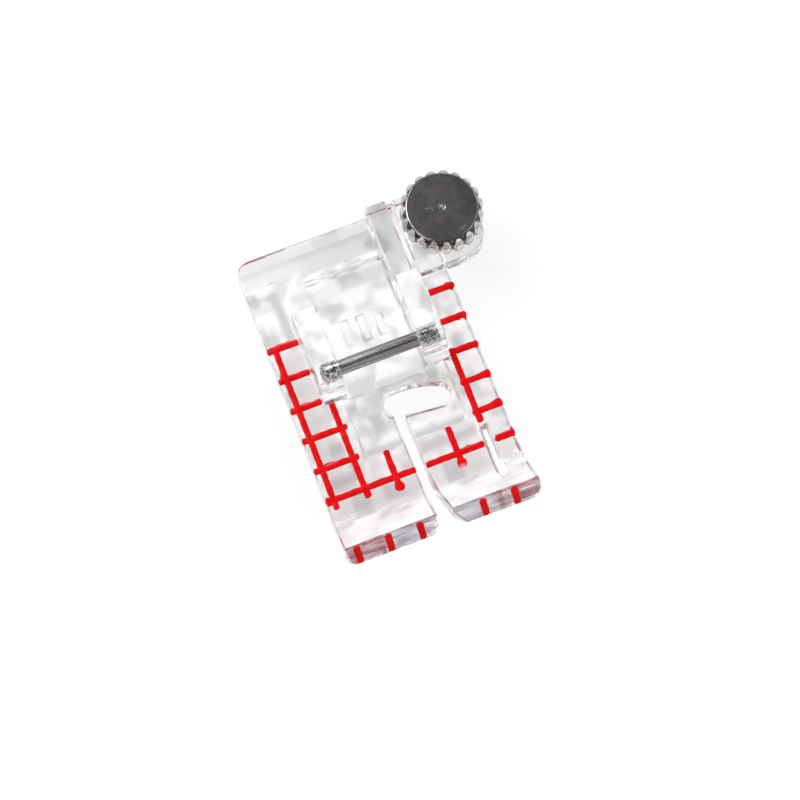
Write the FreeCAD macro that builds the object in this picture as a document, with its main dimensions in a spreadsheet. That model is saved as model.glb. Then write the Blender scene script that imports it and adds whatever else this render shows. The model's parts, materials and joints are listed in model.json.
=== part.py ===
import FreeCAD, Part

import os

import Sketcher
from FreeCAD import Placement, Rotation, Vector

# Clear clip-on presser foot with a thumb screw that clamps an edge guide.
# Origin: the needle's point on the sole plane. +X to the right, +Y to the rear, +Z up.
# Millimetres and degrees.

# Driving dimensions: name, value, what it sets
DIMENSIONS = (
    ("grid_pitch", 3.175, "spacing of the red lines, one eighth of an inch"),
    ("left_margin", 0.775, "leftmost red line to the left edge"),
    ("foot_width", 19.275, "left edge to right edge of the plate"),
    ("rear_reach", 19.15, "needle to the rear edge"),
    ("plate_height", 2.8, "sole to the top of the plate"),
    ("rear_corner", 1.5, "radius of the rear left corner in plan"),
    ("heel_length", 3.0, "length over which the sole rises to the rear edge"),
    ("heel_rise", 1.1, "height of the sole's rear edge"),
    ("toe_bend", 9.25, "needle to the line where the sole turns up"),
    ("toe_angle", 46.0, "slope of the toes"),
    ("toe_rise", 4.2, "height of the toes' lower front edge"),
    ("toe_thickness", 2.1, "thickness of the toes at their end face"),
    ("toe_sole_radius", 4.0, "bend radius under the toes"),
    ("toe_top_radius", 1.6, "bend radius on top of the toes"),
    ("toe_flare", 0.2, "how far the toes widen at each side"),
    ("toe_flare_length", 6.4, "length over which they widen"),
    ("toe_corner", 1.0, "radius of the toes' outer corners in plan"),
    ("ledge_depth", 0.25, "plate's top down to the ledge along the rear edge"),
    ("ledge_length", 3.15, "ledge's length beside the ankle pocket"),
    ("ledge_reach", 3.7, "ledge's length behind the ankle pocket"),
    ("rear_bevel", 1.4, "length of the bevel on the ledge's rear edge"),
    ("rear_bevel_drop", 0.5, "drop of that bevel"),
    ("channel_left", 1.35, "needle to the left side of the thread channel in the sole"),
    ("channel_width", 4.85, "width of that channel"),
    ("channel_depth", 0.35, "depth of that channel"),
    ("cheek_left_outer", 7.1, "needle to the left cheek's outer face"),
    ("cheek_left_inner", 4.65, "needle to the left cheek's inner face"),
    ("cheek_right_inner", 3.4, "needle to the right cheek's inner face"),
    ("cheek_thickness", 2.5, "thickness of the right cheek"),
    ("cheek_front", 3.3, "needle to the cheeks' front face"),
    ("cheek_rear", 11.3, "needle to the cheeks' rear face and the screw block's front"),
    ("cheek_top", 6.9, "sole to the cheeks' top"),
    ("cheek_front_radius", 1.5, "rounding of the cheeks' front top edge"),
    ("cheek_rear_radius", 0.4, "rounding of the cheeks' rear top edge"),
    ("step_length", 0.7, "length of the low step in front of each cheek"),
    ("step_top", 4.3, "sole to the top of that step"),
    ("block_top", 5.2, "sole to the top of the rail beside the screw"),
    ("rail_width", 2.1, "width of that rail"),
    ("seat_depth", 0.8, "rail's top down to the guide's seat"),
    ("wing_width", 4.575, "how far the screw wing stands out at the right"),
    ("wing_bottom", 2.0, "sole to the underside of the screw wing"),
    ("wing_corner", 2.5, "radius of the wing's corners in plan"),
    ("key_width", 0.65, "width of the groove at the rail's foot"),
    ("key_depth", 0.5, "depth of that groove"),
    ("key_setback", 1.3, "seat's front edge to the groove's front end"),
    ("rear_bar", 4.35, "rear edge to the rear wall of the ankle pocket"),
    ("pocket_floor", 1.5, "sole to the floor of the ankle pocket"),
    ("recess_left", 5.2, "needle to the left side of the sight recess"),
    ("recess_right", 5.3, "needle to its right side"),
    ("recess_front", 3.55, "needle to its front edge"),
    ("recess_rear", 2.6, "needle to its rear edge"),
    ("recess_depth", 0.6, "depth of the sight recess"),
    ("recess_corner", 0.6, "radius of its front corners"),
    ("bar_height", 0.3, "height of the raised bars on the pocket's floor"),
    ("bar_width", 0.8, "width of one bar"),
    ("bar_length", 2.6, "length of one bar"),
    ("bar_pitch", 1.7, "spacing of the bars"),
    ("bar_middle", 8.9, "needle to the middle of the bars"),
    ("hole_left", 0.45, "needle to the front left point of the needle hole's outline"),
    ("hole_front", 0.7, "needle to that point, to the front"),
    ("hole_right", 3.75, "needle to the front right point of the outline"),
    ("hole_front_right", 1.1, "needle to that point, to the front"),
    ("hole_rear_right", 4.35, "needle to the rear right point of the outline"),
    ("hole_rear_low", 1.05, "needle to that point, to the rear"),
    ("hole_rear_left", 0.7, "needle to the rear left point of the outline"),
    ("hole_rear", 1.8, "needle to that point, to the rear"),
    ("hole_right_bulge", 0.8, "bulge of the hole's right end"),
    ("hole_rear_bulge", 0.3, "bulge of its rear wall"),
    ("hole_left_bulge", 1.15, "bulge of its left end"),
    ("hole_rim", 0.3, "rounding of its upper rim"),
    ("slot_left", 1.15, "needle to the left side of the slot between the toes"),
    ("slot_width", 1.05, "width of that slot"),
    ("slot_mouth", 1.3, "how far the slot widens at the right toe's tip"),
    ("slot_mouth_half", 0.52, "how far it widens a little before the tip"),
    ("slot_mouth_half_length", 1.2, "how far before the tip that is"),
    ("slot_mouth_start", 7.8, "needle to where it starts to widen"),
    ("slot_chamfer", 0.6, "cut-off corner at the left toe's tip"),
    ("blade_width", 0.75, "width of the guide's slot in the right toe"),
    ("blade_shift", 0.17, "how far that slot's middle lies right of the quarter-inch line"),
    ("blade_front", 10.25, "needle to the front end of that slot"),
    ("blade_rear", 4.5, "needle to its rear end"),
    ("groove_width", 0.66, "width of the painted grooves"),
    ("groove_depth", 0.3, "depth of the painted grooves"),
    ("line_overrun", 1.0, "how far the upright lines run past the quarter-inch line"),
    ("line_corner", 0.33, "how far the outer upright runs past its last tick"),
    ("dot_radius", 0.5, "radius of the dot that ends each toe tick"),
    ("inner_line_rear", 2.75, "needle to the rear end of the inner left upright"),
    ("right_line_rear", 3.6, "needle to the rear end of the right upright"),
    ("inner_tick_end", 5.7, "needle to the inner end of the short ticks on the left"),
    ("blade_gap_left", 0.26, "clear plastic between the guide's slot and the line at its left"),
    ("blade_gap_right", 0.1, "clear plastic between that slot and the line at its right"),
    ("blade_gap_rear", 0.22, "clear plastic between that slot and the upright behind it"),
    ("mark_width", 0.7, "width of the marks on the toes' end faces"),
    ("mark_shift", 0.18, "how far those marks lie right of their lines"),
    ("mark_depth", 0.25, "depth of those marks"),
    ("mark_margin", 0.2, "clear rim under those marks"),
    ("pin_y", 5.0, "needle to the crossbar pin's axis"),
    ("pin_z", 5.2, "sole to the crossbar pin's axis"),
    ("pin_radius", 0.75, "radius of the crossbar pin"),
    ("pin_bite", 1.75, "length of the pin inside the left cheek"),
    ("pin_recess", 0.5, "pin's right end below the right cheek's outer face"),
    ("spline_radius", 0.85, "radius over the pin's splines"),
    ("spline_count", 16, "number of splines"),
    ("spline_groove", 0.11, "radius of the grooves between splines"),
    ("pin_chamfer", 0.15, "chamfer at the pin's left end"),
    ("screw_inset", 3.5, "thumb screw's axis to the wing's right edge"),
    ("screw_setback", 3.5, "thumb screw's axis to the rear edge"),
    ("knob_radius", 4.05, "radius over the knob's teeth"),
    ("knob_height", 2.6, "height of the knob"),
    ("knob_face", 3.5, "radius of the knob's flat face"),
    ("knob_bevel", 1.0, "height of the bevel between face and teeth"),
    ("knob_edge", 0.25, "chamfer under the teeth"),
    ("tooth_count", 19, "number of teeth round the knob"),
    ("tooth_groove", 0.42, "radius of the grooves between teeth"),
    ("tooth_inset", 0.1, "knob's rim out to the centre of those grooves"),
    ("dimple_radius", 0.3, "radius of the lathe centre in the knob's face"),
    ("collar_radius", 2.6, "radius of the collar under the knob"),
    ("collar_height", 0.9, "height of that collar"),
    ("screw_lift", 0.1, "collar's face above the seat"),
    ("shank_radius", 1.2, "radius of the screw's shank"),
    ("shank_play", 0.05, "radial clearance of the shank in its insert"),
    ("shank_tip", 1.0, "sole to the shank's tip"),
    ("shank_chamfer", 0.3, "chamfer at the shank's tip"),
    ("insert_radius", 2.0, "radius of the brass insert"),
    ("insert_waist", 0.25, "depth of the groove round the insert"),
    ("insert_waist_width", 0.6, "width of that groove"),
    ("cut_margin", 1.0, "how far an open cut runs past the solid"),
)

# Places that follow from the driving dimensions, as expressions of the size sheet
LEFT = "(-3 * Sizes.grid_pitch - Sizes.left_margin)"
RIGHT = f"(Sizes.foot_width + {LEFT})"
REAR = "Sizes.rear_reach"
PLATE_TOP = "Sizes.plate_height"
TIP_LOW_Y = "(-Sizes.toe_bend - Sizes.toe_rise / tan(Sizes.toe_angle))"
TIP_LOW_Z = "Sizes.toe_rise"
TIP_TOP_Y = f"({TIP_LOW_Y} + Sizes.toe_thickness * sin(Sizes.toe_angle))"
TIP_TOP_Z = "(Sizes.toe_rise + Sizes.toe_thickness * cos(Sizes.toe_angle))"
TOP_BEND_Y = f"({TIP_TOP_Y} + ({TIP_TOP_Z} - Sizes.plate_height) / tan(Sizes.toe_angle))"
BEYOND_FRONT = f"({TIP_LOW_Y} - Sizes.cut_margin)"
BEYOND_REAR = "(Sizes.rear_reach + Sizes.cut_margin)"
BEYOND_TOP = f"({TIP_TOP_Z} + Sizes.cut_margin)"
FLARE_Y = f"({TIP_LOW_Y} + Sizes.toe_flare_length)"
CHEEK_LEFT_OUTER = "(-Sizes.cheek_left_outer)"
CHEEK_LEFT_INNER = "(-Sizes.cheek_left_inner)"
CHEEK_RIGHT_INNER = "Sizes.cheek_right_inner"
CHEEK_RIGHT_OUTER = "(Sizes.cheek_right_inner + Sizes.cheek_thickness)"
STEP_FRONT = "(Sizes.cheek_front - Sizes.step_length)"
SEAT_LEFT = "(Sizes.cheek_right_inner + Sizes.rail_width)"
SEAT_TOP = "(Sizes.block_top - Sizes.seat_depth)"
WING_RIGHT = f"({RIGHT} + Sizes.wing_width)"
SCREW_X = f"({WING_RIGHT} - Sizes.screw_inset)"
SCREW_Y = "(Sizes.rear_reach - Sizes.screw_setback)"
POCKET_REAR = "(Sizes.rear_reach - Sizes.rear_bar)"
LEDGE_TOP = "(Sizes.plate_height - Sizes.ledge_depth)"
RECESS_TOP = "(Sizes.plate_height - Sizes.recess_depth)"
SLOT_LEFT = "(-Sizes.slot_left)"
SLOT_RIGHT = "(Sizes.slot_width - Sizes.slot_left)"
GROOVE_FLOOR = "(Sizes.plate_height - Sizes.groove_depth)"
HALF_GROOVE = "Sizes.groove_width / 2"
PIN_LEFT = "(-Sizes.cheek_left_inner - Sizes.pin_bite)"
PIN_RIGHT = f"({CHEEK_RIGHT_OUTER} - Sizes.pin_recess)"
COLLAR_BOTTOM = f"({SEAT_TOP} + Sizes.screw_lift)"
KNOB_BOTTOM = f"({COLLAR_BOTTOM} + Sizes.collar_height)"
KNOB_TOP = f"({KNOB_BOTTOM} + Sizes.knob_height)"

doc = FreeCAD.newDocument("presser_foot")
sizes = doc.addObject("Spreadsheet::Sheet", "Sizes")
for row, (alias, value, meaning) in enumerate(DIMENSIONS, start=1):
    sizes.set(f"A{row}", meaning)
    sizes.set(f"B{row}", str(value))
    sizes.setAlias(f"B{row}", alias)
doc.recompute()


def number(expression):
    """The present value of an expression of the size sheet."""
    return float(sizes.evalExpression(expression))


def new_body(label):
    """A body for one piece of the foot, labelled with its node name."""
    body = doc.addObject("PartDesign::Body", label)
    body.Label = label
    return body


def new_sketch(body, name, plane="XY_Plane", offset=None):
    """A sketch on one of the body's own origin planes, offset along that plane's normal."""
    sketch = body.newObject("Sketcher::SketchObject", name)
    planes = {feature.Role: feature for feature in body.Origin.OriginFeatures}
    sketch.AttachmentSupport = (planes[plane], "")
    sketch.MapMode = "FlatFace"
    if offset is not None:
        sketch.setExpression("AttachmentOffset.Base.z", offset)
    return sketch


def bind(sketch, kind, places, expression):
    """Add one constraint to a sketch and tie its value to an expression."""
    index = sketch.addConstraint(Sketcher.Constraint(kind, *places, number(expression)))
    sketch.setExpression(f"Constraints[{index}]", expression)


def bind_point(sketch, edge, end, place):
    """Fix one end of an edge at a pair of expressions."""
    for kind, expression in zip(("DistanceX", "DistanceY"), place):
        bind(sketch, kind, (-1, 1, edge, end), expression)


def draw_polygon(sketch, corners):
    """Draw a closed polygon whose corners are pairs of expressions."""
    points = [Vector(number(across), number(up), 0) for across, up in corners]
    first = sketch.GeometryCount
    count = len(points)
    for index, point in enumerate(points):
        sketch.addGeometry(Part.LineSegment(point, points[(index + 1) % count]), False)
    for index, corner in enumerate(corners):
        joined = first + (index + 1) % count
        sketch.addConstraint(Sketcher.Constraint("Coincident", first + index, 2, joined, 1))
        bind_point(sketch, first + index, 1, corner)


def draw_rectangle(sketch, low, high):
    """Draw a rectangle from its low and high corners, each a pair of expressions."""
    draw_polygon(sketch, (low, (high[0], low[1]), high, (low[0], high[1])))


def draw_bulged_outline(sketch, corners):
    """Draw a closed outline anticlockwise.

    Each corner has its two places and the outward bulge of the edge that follows it, or None.
    """
    points = [Vector(number(across), number(up), 0) for across, up, _ in corners]
    first = sketch.GeometryCount
    count = len(points)
    for index, (start, (_, _, bulge)) in enumerate(zip(points, corners)):
        end = points[(index + 1) % count]
        if bulge is None:
            sketch.addGeometry(Part.LineSegment(start, end), False)
            continue
        chord = end - start
        outward = Vector(chord.y, -chord.x, 0).normalize()
        sketch.addGeometry(Part.Arc(start, (start + end) / 2 + outward * number(bulge), end), False)
    for index, (across, up, bulge) in enumerate(corners):
        following = (index + 1) % count
        sketch.addConstraint(Sketcher.Constraint("Coincident", first + index, 2, first + following, 1))
        bind_point(sketch, first + index, 1, (across, up))
        if bulge is not None:
            next_across, next_up, _ = corners[following]
            chord_squared = f"(({next_across}) - ({across}))^2 + (({next_up}) - ({up}))^2"
            bind(sketch, "Radius", (first + index,), f"({chord_squared}) / (8 * {bulge}) + {bulge} / 2")


def draw_circle(sketch, centre, radius):
    """Draw a circle from its centre, a pair of expressions, and its radius."""
    middle = Vector(number(centre[0]), number(centre[1]), 0)
    edge = sketch.addGeometry(Part.Circle(middle, Vector(0, 0, 1), number(radius)), False)
    bind_point(sketch, edge, 3, centre)
    bind(sketch, "Radius", (edge,), radius)


def add_pad(body, name, sketch, length, reverse=False):
    """Raise a sketch by a length."""
    pad = body.newObject("PartDesign::Pad", name)
    pad.Profile = sketch
    pad.setExpression("Length", length)
    pad.Reversed = reverse
    doc.recompute()
    return pad


def add_pocket(body, name, sketch, depth=None, reverse=False):
    """Cut a sketch into the body by a depth, or right through both ways where no depth is given."""
    before = body.Shape.Volume
    pocket = body.newObject("PartDesign::Pocket", name)
    pocket.Profile = sketch
    pocket.Reversed = reverse
    if depth is None:
        pocket.Type = "ThroughAll"
        pocket.Midplane = True
    else:
        pocket.setExpression("Length", depth)
    doc.recompute()
    if body.Shape.Volume >= before:
        raise RuntimeError(f"{name} cuts nothing")
    return pocket


def add_revolution(body, name, sketch, axis):
    """Turn a sketch once round one of its own axes."""
    revolution = body.newObject("PartDesign::Revolution", name)
    revolution.Profile = sketch
    revolution.ReferenceAxis = (sketch, [axis])
    revolution.Angle = 360.0
    doc.recompute()
    return revolution


def add_polar_pattern(body, name, feature, sketch, count):
    """Repeat a feature round the normal of its sketch."""
    pattern = body.newObject("PartDesign::PolarPattern", name)
    pattern.Originals = [feature]
    pattern.Axis = (sketch, ["N_Axis"])
    pattern.Angle = 360.0
    pattern.setExpression("Occurrences", count)
    body.Tip = pattern
    doc.recompute()
    return pattern


def add_fillet(body, name, radius, belongs):
    """Round the edges of the body for which belongs(middle point of the edge) is true."""
    base = body.Tip
    names = []
    for index, edge in enumerate(base.Shape.Edges, start=1):
        middle = edge.valueAt((edge.FirstParameter + edge.LastParameter) / 2)
        if belongs(middle):
            names.append(f"Edge{index}")
    if not names:
        raise RuntimeError(f"{name} found no edge")
    fillet = body.newObject("PartDesign::Fillet", name)
    fillet.Base = (base, names)
    fillet.setExpression("Radius", radius)
    doc.recompute()
    return fillet


def near(value, expression):
    """Whether a coordinate lies on the place that an expression gives."""
    return abs(value - number(expression)) < 1e-4


def inside_hole(point):
    """Whether a point lies within the box round the needle hole's outline."""
    left = number("-Sizes.hole_rear_left - Sizes.hole_left_bulge - Sizes.cut_margin")
    right = number("Sizes.hole_rear_right + Sizes.hole_right_bulge")
    front = number("-Sizes.hole_front_right - Sizes.hole_rim")
    rear = number("Sizes.hole_rear + Sizes.hole_rear_bulge")
    return left < point.x < right and front < point.y < rear


def line_rectangle(x_low, y_low, x_high, y_high):
    """The low and high corner of one painted line."""
    return ((x_low, y_low), (x_high, y_high))


def upright(column, y_low, y_high):
    """A painted line along Y, a number of grid pitches to the right of the needle."""
    x = f"({column} * Sizes.grid_pitch)"
    return line_rectangle(f"{x} - {HALF_GROOVE}", y_low, f"{x} + {HALF_GROOVE}", y_high)


def crossline(row, x_low, x_high):
    """A painted line along X, a number of grid pitches behind the needle."""
    y = f"({row} * Sizes.grid_pitch)"
    return line_rectangle(x_low, f"{y} - {HALF_GROOVE}", x_high, f"{y} + {HALF_GROOVE}")


# The red lines: uprights and crosslines of the left and the right half, and the dots that end the toe ticks
LINES_FRONT = "(-2 * Sizes.grid_pitch - Sizes.line_overrun)"
TICK_REAR = "(-Sizes.recess_front)"
BLADE_X = "(2 * Sizes.grid_pitch + Sizes.blade_shift)"
BESIDE_BLADE_LEFT = f"({BLADE_X} - Sizes.blade_width / 2 - Sizes.blade_gap_left)"
BESIDE_BLADE_RIGHT = f"({BLADE_X} + Sizes.blade_width / 2 + Sizes.blade_gap_right)"
LEFT_UPRIGHTS = (
    upright(-3, LINES_FRONT, "(3 * Sizes.grid_pitch + Sizes.line_corner)"),
    upright(-2, LINES_FRONT, "Sizes.inner_line_rear"),
    upright(-1, LINES_FRONT, TICK_REAR),
)
LEFT_CROSSLINES = (
    tuple(crossline(row, LEFT, CHEEK_LEFT_OUTER) for row in (3, 2, 1))
    + tuple(crossline(row, LEFT, "(-Sizes.inner_tick_end)") for row in (0, -1))
    + (crossline(-2, LEFT, SLOT_LEFT),)
)
RIGHT_UPRIGHTS = (
    upright(1, LINES_FRONT, TICK_REAR),
    upright(2, "(Sizes.blade_gap_rear - Sizes.blade_rear)", "Sizes.right_line_rear"),
)
RIGHT_CROSSLINES = (
    tuple(crossline(row, CHEEK_RIGHT_OUTER, RIGHT) for row in (3, 2, 1, 0, -1))
    + (crossline(-2, SLOT_RIGHT, BESIDE_BLADE_LEFT), crossline(-2, BESIDE_BLADE_RIGHT, RIGHT))
)
LEFT_DOTS = (("(-Sizes.grid_pitch)", LINES_FRONT),)
RIGHT_DOTS = (("Sizes.grid_pitch", LINES_FRONT),)


def line_sketches(body, name, uprights, crosslines, dots):
    """The three sketches of one group of painted lines, at the level of the grooves' floor."""
    upright_sketch = new_sketch(body, f"{name}_uprights", offset=GROOVE_FLOOR)
    for low, high in uprights:
        draw_rectangle(upright_sketch, low, high)
    crossline_sketch = new_sketch(body, f"{name}_crosslines", offset=GROOVE_FLOOR)
    for low, high in crosslines:
        draw_rectangle(crossline_sketch, low, high)
    dot_sketch = new_sketch(body, f"{name}_dots", offset=GROOVE_FLOOR)
    for centre in dots:
        draw_circle(dot_sketch, centre, "Sizes.dot_radius")
    return upright_sketch, crossline_sketch, dot_sketch


def mark_sketch(body, name, mark_top):
    """A sketch in the plane of the toes' end faces, with one mark for each line that the toes carry."""
    sketch = new_sketch(body, name)
    sketch.AttachmentOffset = Placement(Vector(0, 0, 0), Rotation(Vector(1, 0, 0), 45))
    sketch.setExpression("AttachmentOffset.Rotation.Angle", "90 - Sizes.toe_angle")
    sketch.setExpression("AttachmentOffset.Base.y", TIP_LOW_Y)
    sketch.setExpression("AttachmentOffset.Base.z", TIP_LOW_Z)
    for column in (-3, -2, -1, 1, 2):
        x = f"({column} * Sizes.grid_pitch + Sizes.mark_shift)"
        low = (f"{x} - Sizes.mark_width / 2", "Sizes.mark_margin")
        high = (f"{x} + Sizes.mark_width / 2", mark_top)
        draw_rectangle(sketch, low, high)
    return sketch


def add_plate(body):
    """The foot's plate: its outline in plan, cut from the side to the upturned toes and the rising heel."""
    outline = new_sketch(body, "plate_outline")
    draw_polygon(outline, (
        (LEFT, REAR),
        (LEFT, FLARE_Y),
        (f"{LEFT} - Sizes.toe_flare", TIP_LOW_Y),
        (f"{RIGHT} + Sizes.toe_flare", TIP_LOW_Y),
        (RIGHT, FLARE_Y),
        (RIGHT, REAR),
    ))
    add_pad(body, "plate", outline, TIP_TOP_Z)
    add_fillet(body, "rear_corner", "Sizes.rear_corner",
               lambda p: near(p.x, LEFT) and near(p.y, REAR))
    add_fillet(body, "toe_corners", "Sizes.toe_corner",
               lambda p: near(p.y, TIP_LOW_Y) and (near(p.x, f"{LEFT} - Sizes.toe_flare")
                                                   or near(p.x, f"{RIGHT} + Sizes.toe_flare")))
    above = new_sketch(body, "above_plate", "YZ_Plane")
    draw_polygon(above, (
        (BEYOND_REAR, PLATE_TOP),
        (TOP_BEND_Y, PLATE_TOP),
        (TIP_TOP_Y, TIP_TOP_Z),
        (TIP_TOP_Y, BEYOND_TOP),
        (BEYOND_REAR, BEYOND_TOP),
    ))
    add_pocket(body, "plate_top", above)
    below = new_sketch(body, "below_toes", "YZ_Plane")
    draw_polygon(below, (
        ("(-Sizes.toe_bend)", "0"),
        (TIP_LOW_Y, TIP_LOW_Z),
        (TIP_TOP_Y, TIP_TOP_Z),
        (TIP_TOP_Y, BEYOND_TOP),
        (BEYOND_FRONT, BEYOND_TOP),
        (BEYOND_FRONT, "(-Sizes.cut_margin)"),
        ("(-Sizes.toe_bend)", "(-Sizes.cut_margin)"),
    ))
    add_pocket(body, "toe_underside", below)
    heel = new_sketch(body, "below_heel", "YZ_Plane")
    draw_polygon(heel, (
        (f"{REAR} - Sizes.heel_length", "0"),
        (REAR, "Sizes.heel_rise"),
        (BEYOND_REAR, "Sizes.heel_rise"),
        (BEYOND_REAR, "(-Sizes.cut_margin)"),
        (f"{REAR} - Sizes.heel_length", "(-Sizes.cut_margin)"),
    ))
    add_pocket(body, "heel_underside", heel)
    channel = new_sketch(body, "thread_channel_outline")
    draw_rectangle(channel, ("(-Sizes.channel_left)", "0"),
                   ("Sizes.channel_width - Sizes.channel_left", BEYOND_REAR))
    add_pocket(body, "thread_channel", channel, "Sizes.channel_depth", reverse=True)
    add_fillet(body, "toe_sole_bend", "Sizes.toe_sole_radius",
               lambda p: near(p.y, "(-Sizes.toe_bend)") and near(p.z, "0"))
    add_fillet(body, "toe_top_bend", "Sizes.toe_top_radius",
               lambda p: near(p.y, TOP_BEND_Y) and near(p.z, PLATE_TOP))


def add_rear_ledge(body):
    """The shallow ledge along the rear edge, deeper behind the ankle pocket, with its bevelled rear edge."""
    ledge = new_sketch(body, "rear_ledge_outline", offset=PLATE_TOP)
    draw_polygon(ledge, (
        (f"{LEFT} - Sizes.cut_margin", f"{REAR} - Sizes.ledge_length"),
        (CHEEK_LEFT_INNER, f"{REAR} - Sizes.ledge_length"),
        (CHEEK_LEFT_INNER, f"{REAR} - Sizes.ledge_reach"),
        (f"{RIGHT} + Sizes.cut_margin", f"{REAR} - Sizes.ledge_reach"),
        (f"{RIGHT} + Sizes.cut_margin", BEYOND_REAR),
        (f"{LEFT} - Sizes.cut_margin", BEYOND_REAR),
    ))
    add_pocket(body, "rear_ledge", ledge, "Sizes.ledge_depth")
    bevel = new_sketch(body, "rear_bevel_profile", "YZ_Plane")
    draw_polygon(bevel, (
        (f"{REAR} - Sizes.rear_bevel", LEDGE_TOP),
        (REAR, f"{LEDGE_TOP} - Sizes.rear_bevel_drop"),
        (BEYOND_REAR, f"{LEDGE_TOP} - Sizes.rear_bevel_drop"),
        (BEYOND_REAR, BEYOND_TOP),
        (f"{REAR} - Sizes.rear_bevel", BEYOND_TOP),
    ))
    add_pocket(body, "rear_bevel", bevel)


def add_cheek(body, side, inner, outer):
    """One of the two cheeks that hold the crossbar pin, with the low step in front of it."""
    profile = new_sketch(body, f"{side}_cheek_profile", "YZ_Plane", inner)
    draw_polygon(profile, (
        (STEP_FRONT, RECESS_TOP),
        (STEP_FRONT, "Sizes.step_top"),
        ("Sizes.cheek_front", "Sizes.step_top"),
        ("Sizes.cheek_front", "Sizes.cheek_top"),
        ("Sizes.cheek_rear", "Sizes.cheek_top"),
        ("Sizes.cheek_rear", RECESS_TOP),
    ))
    add_pad(body, f"{side}_cheek", profile, f"{outer} - {inner}")


def add_block(body):
    """The block and wing at the rear right that carry the thumb screw, with the guide's seat on top."""
    outline = new_sketch(body, "block_outline", offset="Sizes.wing_bottom")
    draw_rectangle(outline, (CHEEK_RIGHT_INNER, "Sizes.cheek_rear"), (WING_RIGHT, REAR))
    add_pad(body, "block", outline, "Sizes.block_top - Sizes.wing_bottom")
    add_fillet(body, "wing_corners", "Sizes.wing_corner",
               lambda p: near(p.x, WING_RIGHT) and (near(p.y, "Sizes.cheek_rear") or near(p.y, REAR)))
    seat = new_sketch(body, "seat_outline", offset="Sizes.block_top")
    draw_rectangle(seat, (SEAT_LEFT, "Sizes.cheek_rear"),
                   (f"{WING_RIGHT} + Sizes.cut_margin", BEYOND_REAR))
    add_pocket(body, "guide_seat", seat, "Sizes.seat_depth")
    key = new_sketch(body, "key_outline", offset=SEAT_TOP)
    draw_rectangle(key, (SEAT_LEFT, "Sizes.cheek_rear + Sizes.key_setback"),
                   (f"{SEAT_LEFT} + Sizes.key_width", BEYOND_REAR))
    add_pocket(body, "key_groove", key, "Sizes.key_depth")
    bore = new_sketch(body, "insert_bore_outline")
    draw_circle(bore, (SCREW_X, SCREW_Y), "Sizes.insert_radius")
    add_pocket(body, "insert_bore", bore)


def add_pocket_and_recess(body):
    """The ankle pocket between the cheeks, its raised bars and the sight recess round the needle."""
    pocket = new_sketch(body, "ankle_pocket_outline", offset=PLATE_TOP)
    draw_rectangle(pocket, (CHEEK_LEFT_INNER, "Sizes.recess_rear"), (CHEEK_RIGHT_INNER, POCKET_REAR))
    add_pocket(body, "ankle_pocket", pocket, "Sizes.plate_height - Sizes.pocket_floor")
    bars = new_sketch(body, "bar_outlines", offset="Sizes.pocket_floor")
    for place in (-1, 0, 1):
        middle = f"((Sizes.cheek_right_inner - Sizes.cheek_left_inner) / 2 + ({place}) * Sizes.bar_pitch)"
        draw_rectangle(
            bars,
            (f"{middle} - Sizes.bar_width / 2", "Sizes.bar_middle - Sizes.bar_length / 2"),
            (f"{middle} + Sizes.bar_width / 2", "Sizes.bar_middle + Sizes.bar_length / 2"),
        )
    add_pad(body, "raised_bars", bars, "Sizes.bar_height")
    recess = new_sketch(body, "recess_outline", offset=PLATE_TOP)
    draw_rectangle(recess, ("(-Sizes.recess_left)", "(-Sizes.recess_front)"),
                   ("Sizes.recess_right", "Sizes.recess_rear"))
    add_pocket(body, "sight_recess", recess, "Sizes.recess_depth")
    add_fillet(body, "recess_corners", "Sizes.recess_corner",
               lambda p: near(p.y, "(-Sizes.recess_front)")
               and (near(p.x, "(-Sizes.recess_left)") or near(p.x, "Sizes.recess_right")))


def add_openings(body):
    """The needle hole, the slot between the toes and the guide's slot in the right toe."""
    hole = new_sketch(body, "needle_hole_outline")
    draw_bulged_outline(hole, (
        ("(-Sizes.hole_left)", "(-Sizes.hole_front)", None),
        ("Sizes.hole_right", "(-Sizes.hole_front_right)", "Sizes.hole_right_bulge"),
        ("Sizes.hole_rear_right", "Sizes.hole_rear_low", "Sizes.hole_rear_bulge"),
        ("(-Sizes.hole_rear_left)", "Sizes.hole_rear", "Sizes.hole_left_bulge"),
    ))
    add_pocket(body, "needle_hole", hole)
    add_fillet(body, "needle_hole_rim", "Sizes.hole_rim",
               lambda p: near(p.z, RECESS_TOP) and inside_hole(p))
    slot = new_sketch(body, "toe_slot_outline")
    draw_polygon(slot, (
        (SLOT_LEFT, "0"),
        (SLOT_LEFT, f"{TIP_LOW_Y} + Sizes.slot_chamfer"),
        (f"{SLOT_LEFT} - Sizes.slot_chamfer - Sizes.cut_margin", BEYOND_FRONT),
        (f"{SLOT_RIGHT} + Sizes.slot_mouth + Sizes.cut_margin", BEYOND_FRONT),
        (f"{SLOT_RIGHT} + Sizes.slot_mouth_half", f"{TIP_LOW_Y} + Sizes.slot_mouth_half_length"),
        (SLOT_RIGHT, "(-Sizes.slot_mouth_start)"),
        (SLOT_RIGHT, "0"),
    ))
    add_pocket(body, "toe_slot", slot)
    blade = new_sketch(body, "blade_slot_outline")
    draw_rectangle(blade, (f"{BLADE_X} - Sizes.blade_width / 2", "(-Sizes.blade_front)"),
                   (f"{BLADE_X} + Sizes.blade_width / 2", "(-Sizes.blade_rear)"))
    add_pocket(body, "blade_slot", blade)


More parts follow.
